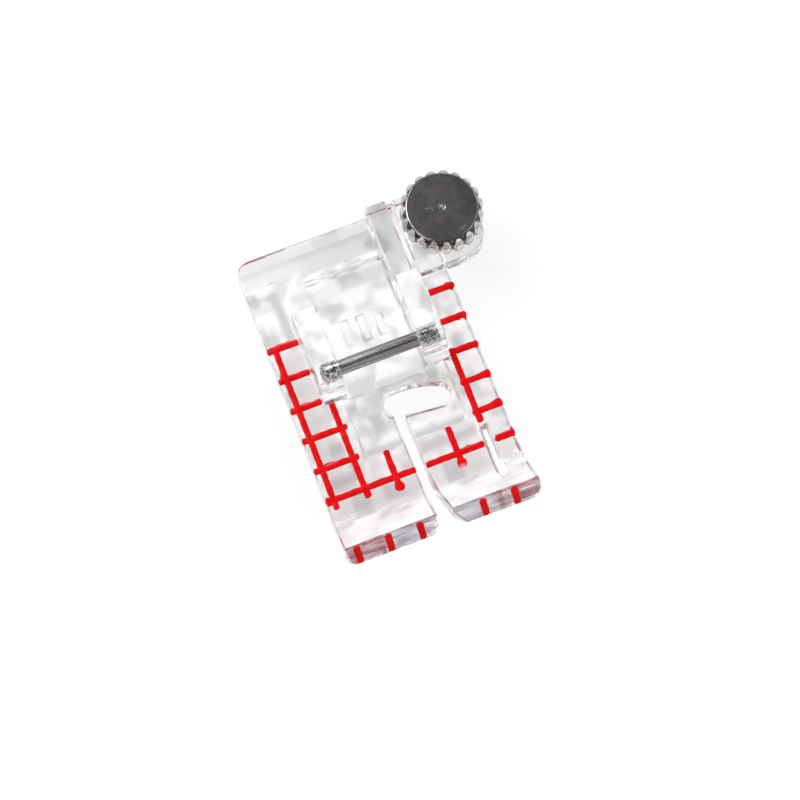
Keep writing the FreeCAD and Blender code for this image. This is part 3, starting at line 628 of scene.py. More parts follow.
@dataclass
class FootMoulding:
    """The clear body of the foot."""

    plastic: ClearPlastic = ClearPlastic(patches=BODY_PAINTED_SHADE)
    # The rounded edge strips: a darker copy of the plastic, so that painted shade shows them as grey lines.
    edge: ClearPlastic = ClearPlastic(
        PlasticLook.EDGE, (0.8, 0.8, 0.81, 1.0), (0.4, 0.4, 0.42, 1.0), painted_shade_scale=(700.0, 700.0, 700.0),
        roughness=0.05, patches=EDGE_PAINTED_SHADE,
    )
    # Other finishes: the toe faces' rough finish, and copies of the plastic that differ from it only by
    # painted shade and painted light.
    special: tuple[ClearPlastic, ...] = (
        # Toe faces: rough and streaked, tinted grey, with darker streaks of painted shade and the painted
        # red reflections.
        ClearPlastic(
            PlasticLook.MILLED, (0.72, 0.72, 0.76, 1.0), (0.38, 0.35, 0.38, 1.0),
            painted_shade_scale=(150.0, 2600.0, 2600.0), painted_shade_share=(0.38, 0.54), transmission=0.7,
            wave_scale=(150.0, 3200.0, 3200.0), wave_height=0.01 * MM, roughness=0.2,
            patches=TOE_FACE_RED_REFLECTIONS,
        ),
        # A paler copy, with less painted shade and two patches of painted shade.
        ClearPlastic(PlasticLook.BRIGHT, painted_shade=grey(0.84), patches=(
            Patch((-1.35, 3.6), (13.1, 14.7), MIDDLE_GREY, fade=0.4),
            Patch((-6.8, -4.9), (6.5, 7.6), GREY, (5.0, 9.0), 0.4),
        )),
        # The rail's top, tinted grey as painted shade, with paler painted light at its front.
        ClearPlastic(
            PlasticLook.RAIL, grey(0.53), grey(0.47),
            patches=(Patch((3.0, 6.2), (10.0, 12.4), PALE_GREY, fade=0.7),),
        ),
        # The rear ledge, tinted grey as painted shade, darker towards its right.
        ClearPlastic(
            PlasticLook.LEDGE, grey(0.78), grey(0.75),
            patches=(Patch((-4.6, 6.0), (14.0, 19.0), MIDDLE_GREY, fade=1.5),),
        ),
        # Edge strips tinted red: painted red reflections of the lines.
        ClearPlastic(
            PlasticLook.RED_REFLECTION, (0.64, 0.54, 0.56, 1.0), (0.34, 0.1, 0.14, 1.0),
            painted_shade_scale=(500.0, 500.0, 500.0), painted_shade_share=(0.42, 0.54), roughness=0.05,
        ),
    )
    facings: tuple[Facing, ...] = (
        Facing(PlasticLook.MILLED, TOE_FRONT),
        Facing(PlasticLook.BRIGHT, None, (-20.0, -13.9, 3.0), (20.0, -9.0, 8.0)),
        Facing(PlasticLook.BRIGHT, None, (2.6, -1.0, 5.3), (6.2, 13.0, 9.0)),
        Facing(PlasticLook.BRIGHT, UPWARD, (-6.0, 6.0, 0.1), (2.5, 16.0, 2.5)),
        Facing(PlasticLook.RAIL, UPWARD, (-20.0, -20.0, 5.19), (20.0, 20.0, 5.21)),
        Facing(PlasticLook.LEDGE, UPWARD, (-20.0, 0.0, 2.54), (20.0, 20.0, 2.56)),
        # Edge strips near the red lines get the painted red reflection.
        Facing(PlasticLook.RED_REFLECTION, None, (3.3, 18.9, 5.0), (5.6, 19.3, 5.3), True),
        Facing(PlasticLook.RED_REFLECTION, None, (5.3, 13.0, 4.2), (5.7, 19.0, 5.3), True),
        Facing(PlasticLook.RED_REFLECTION, None, (5.9, -10.4, 2.6), (6.25, -5.5, 5.0), True),
        Facing(PlasticLook.RED_REFLECTION, None, (-10.6, -14.0, 2.6), (-10.1, -7.0, 6.0), True),
        Facing(PlasticLook.RED_REFLECTION, None, (-0.3, -14.0, 2.6), (1.5, -7.0, 6.0), True),
        Facing(PlasticLook.RED_REFLECTION, None, (-10.6, -12.1, 5.3), (9.4, -11.6, 5.8), True),
    )
    edge_radius: float = 0.14 * MM
    edge_segments: int = 3
    sharp_angle: float = math.radians(28.0)
    merge_reach: float = 0.002 * MM
    rounding_tries: int = 4
    painted_nodes: tuple[str, ...] = ("left_grid_paint", "right_grid_paint", "toe_mark_paint")
    channel_sides: Span = (-1.35 * MM, 3.5 * MM)
    channel_top: float = 0.385 * MM
    channel_reach: float = 0.01 * MM
    flat_angle: float = math.radians(0.5)
    shading_angle: float = math.radians(40.0)
    short_edge: float = 4.0
    fold_reach: float = 2.0
    stray_reach: float = 0.75
    level_share: float = 0.99999
    wide_area: float = 0.5 * MM * MM
    bend_corners: int = 6

    def build(self) -> None:
        """Make the clear foot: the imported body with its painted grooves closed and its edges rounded."""
        shape = self.filled_body()
        rounded = self.round_edges(shape)
        shape.free()
        piece = piece_from(rounded, "clear_foot", self.plastic.build())
        piece.data.materials.append(self.edge.build())
        self.face(piece.data)
        piece.data.set_sharp_from_angle(angle=self.shading_angle)
        for face in piece.data.polygons:
            is_level = abs(face.normal.z) > self.level_share
            if face.area > self.wide_area and (is_level or len(face.vertices) > self.bend_corners):
                face.use_smooth = False
        normals = piece.modifiers.new("flat faces stay flat", "WEIGHTED_NORMAL")
        normals.keep_sharp = True
        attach(piece, "foot")
        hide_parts("foot_body")
        LOG.info("clear_foot moulded, %d faces", len(piece.data.polygons))

    def face(self, mesh: bpy.types.Mesh) -> None:
        """Give some faces a finish of their own: the toe faces' rough finish, paler or greyer copies of the
        plastic with painted shade and light, and painted red reflections on some edge strips.

        Args:
            mesh: the moulding's mesh.
        """
        for finish in self.special:
            mesh.materials.append(finish.build())
        for facing in self.facings:
            base = 1 if facing.on_edges else 0
            free = [face for face in mesh.polygons if face.material_index == base]
            covered = [face for face in free if facing.covers(face)]
            for face in covered:
                face.material_index = mesh.materials.find(facing.look.value)
            LOG.info("%s on %d faces", facing.look.value, len(covered))

    def merged_copy(self, node: str) -> bpy.types.Object:
        """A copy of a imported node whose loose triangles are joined.

        Args:
            node: the node's name.

        Returns:
            The copy, which isn't part of the object.
        """
        shape = bmesh.new()
        shape.from_mesh(frame["nodes"][node].data)
        bmesh.ops.remove_doubles(shape, verts=shape.verts, dist=self.merge_reach)
        mesh = bpy.data.meshes.new(f"{node}_copy")
        shape.to_mesh(mesh)
        shape.free()
        copy = bpy.data.objects.new(f"{node}_copy", mesh)
        bpy.context.collection.objects.link(copy)
        return copy

    def filled_body(self) -> BMesh:
        """The foot's body joined with the paint in its grooves, as one closed mesh of flat faces.

        Returns:
            The mesh.
        """
        body = self.merged_copy("foot_body")
        fills = [self.merged_copy(node) for node in self.painted_nodes]
        for fill in fills:
            union = body.modifiers.new(fill.name, "BOOLEAN")
            union.operation = "UNION"
            union.solver = "EXACT"
            union.object = fill
        joined = bpy.data.meshes.new_from_object(body.evaluated_get(bpy.context.evaluated_depsgraph_get()))
        shape = bmesh.new()
        shape.from_mesh(joined)
        bpy.data.meshes.remove(joined)
        for copy in [body] + fills:
            mesh = copy.data
            bpy.data.objects.remove(copy)
            bpy.data.meshes.remove(mesh)
        bmesh.ops.remove_doubles(shape, verts=shape.verts, dist=self.merge_reach)
        bmesh.ops.dissolve_limit(
            shape, angle_limit=self.flat_angle, verts=shape.verts, edges=shape.edges,
            use_dissolve_boundaries=False,
        )
        shape.edges.index_update()
        return shape

    def round_edges(self, shape: BMesh) -> BMesh:
        """Round the sharp edges, leaving out short ones where the rounding would fold over itself.

        Args:
            shape: the mesh with sharp edges.

        Returns:
            A new mesh, whose rounded strips have the second material.
        """
        surface = BVHTree.FromBMesh(shape)
        left_out: set[int] = set()
        for _ in range(self.rounding_tries):
            rounded = shape.copy()
            rounded.edges.index_update()
            sharp = [edge for edge in rounded.edges if self.is_sharp(edge) and edge.index not in left_out]
            bmesh.ops.bevel(
                rounded, geom=sharp, offset=self.edge_radius, offset_type="OFFSET",
                segments=self.edge_segments, profile=0.5, affect="EDGES", clamp_overlap=False, material=1,
            )
            astray = self.astray_places(rounded, surface)
            if not astray:
                break
            for edge in shape.edges:
                if self.is_sharp(edge) and edge.calc_length() < self.short_edge * self.edge_radius:
                    reach = min((vert.co - place).length for vert in edge.verts for place in astray)
                    if reach < self.fold_reach * self.edge_radius:
                        left_out.add(edge.index)
            rounded.free()
        else:
            raise RuntimeError("the foot's edges can't be rounded")
        return rounded

    def is_sharp(self, edge: bmesh.types.BMEdge) -> bool:
        """Whether an edge is one to round; the low sides of the sole's channel stay sharp."""
        if not edge.is_manifold or edge.calc_face_angle(0.0) < self.sharp_angle:
            return False
        if any(vert.co.z > self.channel_top for vert in edge.verts):
            return True
        return not any(
            all(abs(vert.co.x - side) < self.channel_reach for vert in edge.verts)
            for side in self.channel_sides
        )

    def astray_places(self, rounded: BMesh, surface: BVHTree) -> list[Vector]:
        """Where rounding moved a vertex further than its radius allows.

        Args:
            rounded: the rounded mesh.
            surface: the surface before rounding.

        Returns:
            The sound neighbours of those vertices.
        """
        reach = self.stray_reach * self.edge_radius
        astray = {vert for vert in rounded.verts if surface.find_nearest(vert.co)[3] > reach}
        return [
            edge.other_vert(vert).co.copy()
            for vert in astray for edge in vert.link_edges if edge.other_vert(vert) not in astray
        ]


@dataclass
class ClampedMetal:
    """The two metal pieces that are pressed into the plastic."""

    # The pin's streaks along its length run from light to near black: tool streaks and painted reflections.
    pin: TurnedMetal = TurnedMetal(
        MetalKind.PIN_STEEL, (0.66, 0.65, 0.63, 1.0), (0.05, 0.05, 0.048, 1.0), 0.2,
        (90.0, 11000.0, 11000.0), 0.02 * MM, (-4.65 * MM, 3.4 * MM),
    )
    insert: TurnedMetal = TurnedMetal(
        MetalKind.BRASS, (0.74, 0.68, 0.56, 1.0), (0.5, 0.44, 0.34, 1.0), 0.3,
        (3000.0, 3000.0, 3000.0), 0.004 * MM,
    )

    def dress(self) -> None:
        """Give the crossbar pin and the brass insert their finishes."""
        for node, finish in (("crossbar_pin", self.pin), ("threaded_insert", self.insert)):
            target = frame["nodes"][node]
            target.data.materials.clear()
            target.data.materials.append(finish.build())
            LOG.info("%s dressed", node)


@dataclass(frozen=True)
class Spill:
    """Where the paint ran past its line, in millimetres; a reach below zero is on the line's right."""

    place: float
    reach: float
    spread: float


@dataclass(frozen=True)
class Stroke:
    """One painted line: its ends, its width and where it ran over."""

    start: Vector
    end: Vector
    width: float
    spills: tuple[Spill, ...] = ()


@dataclass
class BrushedLines:
    """Paint laid into the moulded lines by hand, a little proud and uneven at its edges."""

    step: float = 0.11 * MM
    across: int = 8
    crown: float = 0.03 * MM
    film: float = 0.004 * MM
    wander: float = 0.035 * MM
    fray: float = 0.06 * MM
    wander_length: float = 2.6 * MM
    fray_length: float = 0.55 * MM
    relief: float = 0.012 * MM
    end_round: float = 0.09 * MM
    end_share: float = 0.2
    root_share: float = 0.96
    dot_crown: float = 1.3
    dot_raggedness: float = 0.14
    edge_seed: float = 9.0
    relief_seed: float = 3.0

    def add_stroke(self, shape: BMesh, stroke: Stroke, up: Vector, depth: float, seed: float) -> None:
        """Lay one stroke of paint: a closed strip with a domed top and a narrow root in its groove.

        Args:
            shape: the mesh that the stroke joins.
            stroke: where the line runs.
            up: the direction out of the painted face.
            depth: how deep the root reaches below that face.
            seed: shifts the unevenness so that no two strokes match.
        """
        along = stroke.end - stroke.start
        length = along.length
        along.normalize()
        side = up.cross(along)
        grid = bmesh.ops.create_grid(
            shape, x_segments=max(8, round(length / self.step)), y_segments=self.across, size=0.5
        )
        root = grid["verts"]
        faces = list({face for vert in root for face in vert.link_faces})
        raised = bmesh.ops.extrude_face_region(shape, geom=faces)
        top = {item for item in raised["geom"] if isinstance(item, bmesh.types.BMVert)}
        half = stroke.width / 2
        for vert in list(top) + root:
            place = (vert.co.x + 0.5) * length
            lateral = 2.0 * vert.co.y
            to_end = min(place / self.end_round, (length - place) / self.end_round, 1.0)
            roundness = math.sqrt(max(0.0, 1.0 - (1.0 - to_end) ** 2))
            if vert in top:
                shift = self.wander * noise.noise(Vector((place / self.wander_length, seed, 0.0)))
                edge = math.copysign(self.edge_seed, lateral)
                frays = self.fray * noise.noise(Vector((place / self.fray_length, seed, edge)))
                reach = half + frays + self.run_over(stroke, place, lateral)
                height = self.film + self.crown * (1.0 - lateral ** 2)
                relief_place = Vector((place / self.fray_length, seed + lateral, self.relief_seed))
                height += self.relief * noise.noise(relief_place)
            else:
                shift = 0.0
                reach = half * self.root_share
                height = -depth * self.root_share
            fullness = self.end_share + (1.0 - self.end_share) * roundness
            offset = side * (shift + lateral * reach * fullness)
            vert.co = stroke.start + along * place + offset + up * height

    def run_over(self, stroke: Stroke, place: float, lateral: float) -> float:
        """How far the paint ran past the line's edge at one place.

        Args:
            stroke: the painted line.
            place: distance from its start.
            lateral: from -1 at its right edge to 1 at its left edge.

        Returns:
            The extra reach in metres.
        """
        extra = 0.0
        for spill in stroke.spills:
            if spill.reach * lateral > 0.0:
                away = (place - spill.place * MM) / (spill.spread * MM)
                extra += abs(spill.reach * MM) * math.exp(-(away ** 2))
        return extra

    def add_dot(self, shape: BMesh, centre: Vector, radius: float, depth: float, seed: float) -> None:
        """Lay the round dot of paint that ends a tick.

        Args:
            shape: the mesh that the dot joins.
            centre: its middle on the painted face.
            radius: its radius.
            depth: how deep its root reaches.
            seed: shifts its unevenness.
        """
        before = set(shape.verts)
        bmesh.ops.create_uvsphere(shape, u_segments=40, v_segments=14, radius=1.0)
        for vert in set(shape.verts) - before:
            angle = math.atan2(vert.co.y, vert.co.x)
            swing = noise.noise(Vector((math.cos(angle) * 2.0, math.sin(angle) * 2.0, seed)))
            ragged = 1.0 + self.dot_raggedness * swing
            height = self.crown * self.dot_crown if vert.co.z > 0.0 else depth * self.root_share
            planar = Vector((vert.co.x, vert.co.y, 0.0)) * radius * ragged
            vert.co = centre + planar + Vector((0.0, 0.0, vert.co.z * height + self.film))

    def finish(self, shape: BMesh, name: str, material: Material, *nodes: str) -> None:
        """Turn the strokes into a piece that stands for the plain paint solids.

        Args:
            shape: the strokes.
            name: the piece's name.
            material: its paint.
            nodes: the solids that it stands for.
        """
        bmesh.ops.recalc_face_normals(shape, faces=shape.faces)
        piece = piece_from(shape, name, material)
        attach(piece, "foot")
        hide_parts(*nodes)
        LOG.info("%s laid", name)


@dataclass
class MeasuringLines(BrushedLines):
    """The red lines an eighth of an inch apart on the foot's top and on the toes' end faces."""

    pitch: float = 3.175 * MM
    width: float = 0.62 * MM
    mark_width: float = 0.68 * MM
    groove_depth: float = 0.3 * MM
    mark_depth: float = 0.25 * MM
    dot_radius: float = 0.5 * MM
    overrun: float = 1.0 * MM
    tick_rear: float = -3.55 * MM
    inner_rear: float = 2.75 * MM
    right_rear: float = 3.6 * MM
    right_front: float = -4.3 * MM
    cheek_left: float = -7.1 * MM
    cheek_right: float = 5.9 * MM
    short_tick_end: float = -5.7 * MM
    blade_left: float = 5.88 * MM
    blade_right: float = 7.0 * MM
    mark_shift: float = 0.18 * MM
    slot_left: float = -1.17 * MM
    slot_right: float = -0.08 * MM
    toe_angle: float = math.radians(46.0)
    edge_bead: float = 0.05 * MM
    line_seed_step: float = 5.3
    mark_seed_step: float = 3.1
    first_mark_seed: float = 40.0
    right_spills: dict[int, tuple[Spill, ...]] = field(default_factory=lambda: {
        3: (Spill(2.7, -0.34, 0.13), Spill(2.4, 0.14, 0.2)),
        2: (Spill(2.85, -0.42, 0.12), Spill(2.2, -0.12, 0.3)),
        1: (Spill(2.8, -0.32, 0.1), Spill(1.9, -0.06, 0.6)),
        0: (Spill(2.8, 0.12, 0.6), Spill(2.9, -0.14, 0.4)),
        -1: (Spill(2.7, 0.24, 0.6), Spill(1.2, -0.06, 0.5)),
        -2: (Spill(1.9, 0.3, 0.16), Spill(1.1, 0.12, 0.9)),
    })

    def __post_init__(self) -> None:
        """Read the lines' level and outer ends from the frame."""
        low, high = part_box("left_grid_paint")
        self.level = high[2]
        self.left = low[0] - self.edge_bead
        self.front = -2.0 * self.pitch - self.overrun
        self.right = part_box("right_grid_paint")[1][0] + self.edge_bead

    def upright(self, column: float, front: float, rear: float, *spills: Spill) -> Stroke:
        """A line that runs from front to rear, a number of pitches to the right of the needle."""
        start, end = (Vector((column * self.pitch, back, self.level)) for back in (front, rear))
        return Stroke(start, end, self.width, spills)

    def crossline(self, row: float, left: float, right: float, *spills: Spill) -> Stroke:
        """A line that runs from left to right, a number of pitches behind the needle."""
        start, end = (Vector((across, row * self.pitch, self.level)) for across in (left, right))
        return Stroke(start, end, self.width, spills)

    def left_strokes(self) -> list[Stroke]:
        """The lines of the left half.

        Returns:
            Three uprights and six crosslines.
        """
        rear = 3 * self.pitch + self.width / 2
        front_spills = (Spill(0.2, -0.16, 0.5), Spill(0.3, 0.12, 0.3))
        return [
            self.upright(-3, self.front, rear, Spill(13.9, 0.22, 0.5)),
            self.upright(-2, self.front, self.inner_rear, Spill(0.3, -0.1, 0.4)),
            self.upright(-1, self.front, self.tick_rear),
            self.crossline(3, self.left, self.cheek_left, Spill(1.5, 0.12, 1.0)),
            self.crossline(2, self.left, self.cheek_left, Spill(0.8, 0.06, 0.4)),
            self.crossline(1, self.left, self.cheek_left, Spill(1.6, 0.08, 0.6)),
            self.crossline(0, self.left, self.short_tick_end),
            self.crossline(-1, self.left, self.short_tick_end, Spill(1.6, 0.12, 0.7)),
            self.crossline(-2, self.left, self.slot_left, *front_spills),
        ]

    def right_strokes(self) -> list[Stroke]:
        """The lines of the right half.

        Returns:
            Two uprights and seven crosslines.
        """
        strokes = [
            self.upright(1, self.front, self.tick_rear),
            self.upright(2, self.right_front, self.right_rear, Spill(7.7, 0.12, 0.3)),
        ]
        strokes += [self.crossline(row, self.cheek_right, self.right, *self.right_spills[row])
                    for row in (3, 2, 1, 0, -1)]
        middle_spill = Spill(4.4, 0.1, 0.5)
        strokes.append(self.crossline(-2, self.slot_right, self.blade_left, middle_spill))
        strokes.append(self.crossline(-2, self.blade_right, self.right, *self.right_spills[-2]))
        return strokes

    def lay(self, paint: Material) -> None:
        """Lay the lines of both halves and the marks on the toes.

        Args:
            paint: the red paint.
        """
        groups = (
            ("left_measuring_lines", "left_grid_paint", self.left_strokes(), -self.pitch),
            ("right_measuring_lines", "right_grid_paint", self.right_strokes(), self.pitch),
        )
        for name, node, strokes, dot_x in groups:
            shape = bmesh.new()
            seed = dot_x / MM
            for index, stroke in enumerate(strokes):
                stroke_seed = index * self.line_seed_step + seed
                self.add_stroke(shape, stroke, Vector(UPWARD), self.groove_depth, stroke_seed)
            centre = Vector((dot_x, self.front, self.level))
            self.add_dot(shape, centre, self.dot_radius, self.groove_depth, seed)
            self.finish(shape, name, paint, node)
        self.lay_toe_marks(paint)

    def lay_toe_marks(self, paint: Material) -> None:
        """Lay the short marks on the sloping end faces of the toes.

        Args:
            paint: the red paint.
        """
        low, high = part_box("toe_mark_paint")
        up = Vector((0.0, -math.sin(self.toe_angle), math.cos(self.toe_angle)))
        slope = Vector((0.0, math.cos(self.toe_angle), math.sin(self.toe_angle)))
        foot = Vector((0.0, low[1], low[2])) + up * self.mark_depth * math.cos(self.toe_angle)
        reach = (high[2] - foot.z) / slope.z
        shape = bmesh.new()
        for index, column in enumerate((-3, -2, -1, 1, 2)):
            start = Vector((column * self.pitch + self.mark_shift, foot.y, foot.z))
            stroke = Stroke(start, start + slope * reach, self.mark_width)
            seed = index * self.mark_seed_step + self.first_mark_seed
            self.add_stroke(shape, stroke, up, self.mark_depth, seed)
        self.finish(shape, "toe_marks", paint, "toe_mark_paint")


@dataclass
class ThumbScrew:
    """The turned thumb screw: knurled knob, collar and threaded shank."""

    face_radius: float = 3.5 * MM
    knob_radius: float = 4.05 * MM
    knob_height: float = 2.6 * MM
    rim_drop: float = 0.8 * MM
    collar_radius: float = 2.6 * MM
    collar_height: float = 0.9 * MM
    pip_radius: float = 0.3 * MM
    teeth: int = 19
    tooth_depth: float = 0.36 * MM
    tooth_steps: int = 14
    thread_pitch: float = 0.5 * MM
    thread_radius: float = 1.22 * MM
    thread_root: float = 0.95 * MM
    rows_per_turn: int = 8
    rim_bevel: float = 0.12 * MM
    scallop_width: float = 0.17
    crown_share: float = 0.12
    cut_growth: float = 1.4
    flank_growth: float = 1.25
    match_reach: float = 0.01 * MM
    pip_share: float = 0.8

    def __post_init__(self) -> None:
        """Read the screw's axis and ends from the frame, and work out where knob and collar begin."""
        joint = frame["record"]["behaviour"]["joints"][0]
        low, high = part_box("thumb_screw")
        self.axis = Vector((joint["pos_m"][0], joint["pos_m"][1], 0.0))
        self.tip = low[2]
        self.top = high[2]
        self.knob_low = self.top - self.knob_height
        self.collar_low = self.knob_low - self.collar_height

    def profile(self) -> list[tuple[float, float, int]]:
        """The screw's half section from its tip to the pip in its face.

        Returns:
            Radius, height and the cuts of the edge that follows, for each corner.
        """
        knob_low, collar_low = self.knob_low, self.collar_low
        thread_rows = round((collar_low - self.tip) / self.thread_pitch * self.rows_per_turn)
        return [
            (0.0, self.tip, 0),
            (self.thread_root, self.tip, 0),
            (self.thread_radius, self.tip + 0.25 * MM, thread_rows),
            (self.thread_radius, collar_low - 0.3 * MM, 0),
            (self.thread_root, collar_low - 0.1 * MM, 0),
            (self.thread_root, collar_low, 2),
            (self.collar_radius - self.rim_bevel, collar_low, 0),
            (self.collar_radius, collar_low + self.rim_bevel, 1),
            (self.collar_radius, knob_low, 2),
            (self.knob_radius - 0.35 * MM, knob_low, 1),
            (self.knob_radius - 0.1 * MM, knob_low + 0.06 * MM, 0),
            (self.knob_radius, knob_low + 0.25 * MM, 6),
            (self.knob_radius, self.top - self.rim_drop - 0.2 * MM, 0),
            (self.knob_radius - 0.06 * MM, self.top - self.rim_drop, 0),
            (self.knob_radius - 0.25 * MM, self.top - self.rim_drop + self.rim_bevel, 2),
            (self.face_radius + 0.03 * MM, self.top - self.rim_bevel, 0),
            (self.face_radius - 0.04 * MM, self.top - 0.02 * MM, 0),
            (self.face_radius - 0.1 * MM, self.top, 0),
            (self.face_radius - 0.16 * MM, self.top, 6),
            (self.pip_radius + 0.1 * MM, self.top, 0),
            (self.pip_radius + 0.05 * MM, self.top, 0),
            (self.pip_radius, self.top - 0.02 * MM, 0),
            (self.pip_radius - 0.03 * MM, self.top - 0.06 * MM, 0),
            (0.12 * MM, self.top - 0.27 * MM, 0),
            (0.0, self.top - 0.3 * MM, 0),
        ]

    def build(self, metal: Material, face_metal: Material, knurl_metal: Material) -> None:
        """Turn the half section round the axis, cut the teeth and roll the thread.

        Args:
            metal: the screw's plated metal.
            face_metal: the metal of the knob's turned face, painted dark to stand for the dark reflection
                it shows.
            knurl_metal: the metal of the knob's teeth and of the pip, with painted shade in its hollows.
        """
        shape = bmesh.new()
        corners = self.profile()
        verts = [shape.verts.new(Vector((radius, 0.0, height))) for radius, height, _ in corners]
        edges = [shape.edges.new(pair) for pair in zip(verts, verts[1:])]
        for edge, (_, _, cuts) in zip(edges, corners):
            if cuts:
                bmesh.ops.subdivide_edges(shape, edges=[edge], cuts=cuts)
        bmesh.ops.spin(
            shape, geom=shape.verts[:] + shape.edges[:], cent=(0.0, 0.0, 0.0), axis=(0.0, 0.0, 1.0),
            dvec=(0.0, 0.0, 0.0), angle=2.0 * math.pi, steps=self.teeth * self.tooth_steps, use_merge=True,
        )
        bmesh.ops.remove_doubles(shape, verts=shape.verts, dist=0.0005 * MM)
        for vert in shape.verts:
            radius = math.hypot(vert.co.x, vert.co.y)
            if radius < self.pip_radius:
                continue
            turn = math.atan2(vert.co.y, vert.co.x) / (2.0 * math.pi)
            if radius > self.face_radius and vert.co.z > self.knob_low - self.match_reach:
                scale = (radius - self.tooth_cut(turn, radius)) / radius
            elif abs(radius - self.thread_radius) < self.match_reach and vert.co.z < self.collar_low:
                scale = self.thread_height(turn, vert.co.z) / radius
            else:
                continue
            vert.co.x *= scale
            vert.co.y *= scale
        bmesh.ops.translate(shape, verts=shape.verts, vec=self.axis)
        bmesh.ops.recalc_face_normals(shape, faces=shape.faces)
        piece = piece_from(shape, "knurled_thumb_screw", metal)
        piece.data.materials.append(face_metal)
        piece.data.materials.append(knurl_metal)
        for face in piece.data.polygons:
            radius = (face.center - self.axis).xy.length
            on_face = self.pip_radius * self.pip_share < radius < self.face_radius
            if face.center.z > self.top - 0.001 * MM:
                face.material_index = 1
            elif face.center.z > self.knob_low and not on_face:
                face.material_index = 2
        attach(piece, "guide_screw")
        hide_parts("thumb_screw")
        LOG.info("thumb screw turned")

    def tooth_cut(self, turn: float, radius: float) -> float:
        """How deep the scallops between the teeth cut at one place.

        Args:
            turn: the place round the knob, in turns.
            radius: the uncut radius there.

        Returns:
            The cut in metres.
        """
        phase = (turn * self.teeth + 0.5) % 1.0 - 0.5
        share = (radius - self.face_radius) / (self.knob_radius - self.face_radius)
        scallop = math.exp(-((phase / self.scallop_width) ** 2))
        crown = (2.0 * abs(phase) - 1.0) ** 2 * self.crown_share
        return self.tooth_depth * min(1.0, share * self.cut_growth) * (scallop + crown)

    def thread_height(self, turn: float, height: float) -> float:
        """The thread's radius at one place.

        Args:
            turn: the place round the shank, in turns.
            height: its height.

        Returns:
            The radius in metres, between root and crest.
        """
        phase = (height / self.thread_pitch - turn) % 1.0
        ridge = 1.0 - abs(2.0 * phase - 1.0)
        height_share = min(1.0, ridge * self.flank_growth)
        return self.thread_root + (self.thread_radius - self.thread_root) * height_share


def piece_from(shape: BMesh, name: str, material: Material) -> bpy.types.Object:
    """Make an object with smooth faces from a finished mesh.

    Args:
        shape: the mesh, which is freed.
        name: the object's name.
        material: its material.

    Returns:
        The new object, at the origin.
    """
    mesh = bpy.data.meshes.new(name)
    shape.to_mesh(mesh)
    shape.free()
    mesh.materials.append(material)
    mesh.polygons.foreach_set("use_smooth", [True] * len(mesh.polygons))
    piece = bpy.data.objects.new(name, mesh)
    bpy.context.collection.objects.link(piece)
    return piece


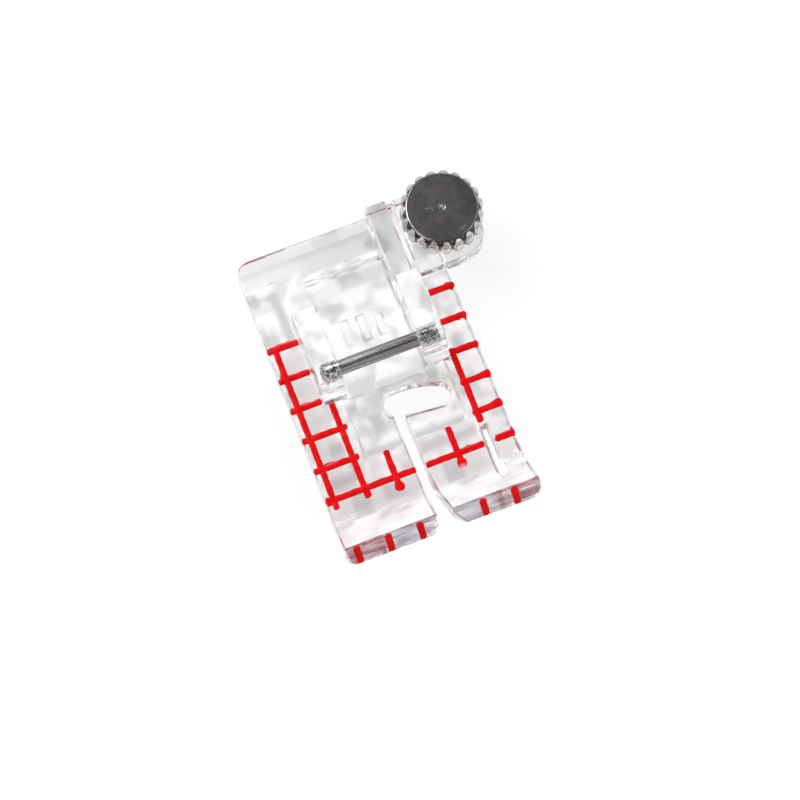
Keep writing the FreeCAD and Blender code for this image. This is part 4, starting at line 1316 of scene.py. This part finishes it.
@dataclass
class Studio:
    """Floor, lights, world and camera."""

    azimuth: float = math.radians(-21.2)
    elevation: float = math.radians(75.0)
    distance: float = 0.28
    target: Triple = (-0.098 * MM, 0.549 * MM, 2.8 * MM)
    lens: float = 131.4
    sensor: float = 36.0
    clip: Span = (0.01, 10.0)
    floor_size: float = 1.2
    floor_drop: float = 0.02 * MM
    floor_color: Color = grey(0.9)
    paper_radius: float = 0.03
    paper_fade: float = 0.11
    room_color: Color = (0.12, 0.12, 0.13, 1.0)
    dome_levels: tuple[Span, ...] = (
        (0.001, 0.4), (0.2, 0.6), (0.4, 1.0), (0.65, 0.95), (0.8, 0.25), (0.999, 0.14)
    )
    dome_blueness: float = 1.02
    dome_strength: float = 0.9
    paper_share: float = 0.82
    room_share: float = 0.5

    def build_floor(self) -> None:
        """Lay the pale floor, which shows white to the camera and keeps soft shadows."""
        shape = bmesh.new()
        bmesh.ops.create_grid(shape, x_segments=1, y_segments=1, size=self.floor_size)
        bmesh.ops.translate(shape, verts=shape.verts, vec=Vector((0.0, 0.0, -self.floor_drop)))
        floor = piece_from(shape, "floor", self.floor_material())
        floor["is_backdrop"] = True

    def floor_material(self) -> Material:
        """White paper to the camera, and in views through the plastic a room that darkens farther off.

        Returns:
            The floor's material.
        """
        tree = NodeTree("pale_floor")
        white = grey(1.0)
        lit = tree.join("BsdfDiffuse", self.floor_color)
        paper = tree.join("Emission", white, 1.0)
        distance = tree.length(tree.object_coordinates((1.0, 1.0, 0.0)))
        stops = ((self.paper_radius, white), (self.paper_fade, self.room_color))
        room = tree.join("Emission", tree.ramp(distance, *stops, interpolation="EASE"), 1.0)
        rays = tree.add("LightPath").outputs
        bent = tree.join("Math", rays["Is Transmission Ray"], rays["Is Glossy Ray"], operation="MAXIMUM")
        seen = tree.join("Math", bent, self.room_share, operation="MULTIPLY")
        direct = tree.join("Math", rays["Is Camera Ray"], self.paper_share, operation="MULTIPLY")
        near = tree.join("MixShader", direct, lit, paper)
        return tree.finished(tree.join("MixShader", seen, near, room))

    def build_world(self) -> None:
        """Light the scene from a dome that is brightest halfway up and dark overhead."""
        tree = NodeTree("studio", for_world=True)
        height = tree.split(tree.add("TexCoord").outputs["Generated"])[2]
        stops = [
            (place, (level, level, level * self.dome_blueness, 1.0)) for place, level in self.dome_levels
        ]
        dome = tree.join("Background", tree.ramp(height, *stops), self.dome_strength)
        plain = tree.join("Background", grey(1.0), 1.0)
        camera_ray = tree.add("LightPath").outputs["Is Camera Ray"]
        bpy.context.scene.world = tree.finished(tree.join("MixShader", camera_ray, dome, plain))

    def add_softbox(self, name: str, place: Triple, size: float, power: float) -> None:
        """Hang a square soft light that looks at the object.

        Args:
            name: the light's name.
            place: where it hangs, in metres.
            size: its side, in metres.
            power: its power, in watts.
        """
        light = bpy.data.lights.new(name, "AREA")
        light.shape = "SQUARE"
        light.size = size
        light.energy = power
        holder = bpy.data.objects.new(name, light)
        holder.location = place
        holder.rotation_euler = (-Vector(place)).to_track_quat("-Z", "Y").to_euler()
        bpy.context.collection.objects.link(holder)

    def build_camera(self) -> None:
        """Set the camera at the photograph's angle, far off with a long lens."""
        back = Vector((
            math.sin(self.azimuth) * math.cos(self.elevation),
            -math.cos(self.azimuth) * math.cos(self.elevation),
            math.sin(self.elevation),
        ))
        data = bpy.data.cameras.new("camera")
        data.sensor_width = self.sensor
        data.lens = self.lens
        data.clip_start, data.clip_end = self.clip
        camera = bpy.data.objects.new("camera", data)
        camera.location = Vector(self.target) + back * self.distance
        camera.rotation_euler = Euler((math.pi / 2 - self.elevation, 0.0, self.azimuth), "XYZ")
        bpy.context.collection.objects.link(camera)
        bpy.context.scene.camera = camera

    def build(self) -> None:
        """Build the whole studio."""
        self.build_floor()
        self.build_world()
        self.add_softbox("key", place=(-0.15, 0.25, 0.35), size=0.3, power=1.6)
        self.add_softbox("fill", place=(0.3, -0.1, 0.3), size=0.3, power=0.6)
        self.build_camera()
        bpy.context.scene.view_settings.view_transform = "Standard"
        bpy.context.scene.cycles.max_bounces = 24
        bpy.context.scene.cycles.transmission_bounces = 24
        bpy.context.scene.cycles.glossy_bounces = 12
        LOG.info("studio built")


def main() -> None:
    """Dress the frame, lay the paint, turn the screw and set the studio."""
    logging.basicConfig(level=logging.INFO)
    boxes: dict[str, list[list[float]]] = {}
    record_bounds("cad", boxes)
    FootMoulding().build()
    ClampedMetal().dress()
    MeasuringLines().lay(RedPaint().build())
    screw = ThumbScrew()
    axis = tuple(screw.axis)
    screw.build(
        # The knob's sides: tool rings with near-white and near-black patches of painted reflection.
        LatheFinish(
            "turned_nickel", axis, NICKEL_SHINE, (0.07, 0.068, 0.065, 1.0), contrast=(0.49, 0.56),
            patch_scale=300.0,
        ).build(),
        # The knob's face: the same nickel painted dark for its reflection, with pale streaks and painted
        # highlights.
        LatheFinish(
            "turned_nickel_face", axis, NICKEL_FACE_PAINTED_DARK, (0.085, 0.08, 0.077, 1.0), 0.34, ring_scale=7000.0,
            patches=KNOB_STREAKS_AND_HIGHLIGHTS,
        ).build(),
        LatheFinish(
            "knurled_nickel", axis, NICKEL_TEETH, (0.42, 0.41, 0.39, 1.0), 0.22, gap_count=screw.teeth,
            patches=PIP_SHADE,
        ).build(),
    )
    Studio().build()
    record_bounds("visual", boxes)


if __name__ == "__main__":
    main()
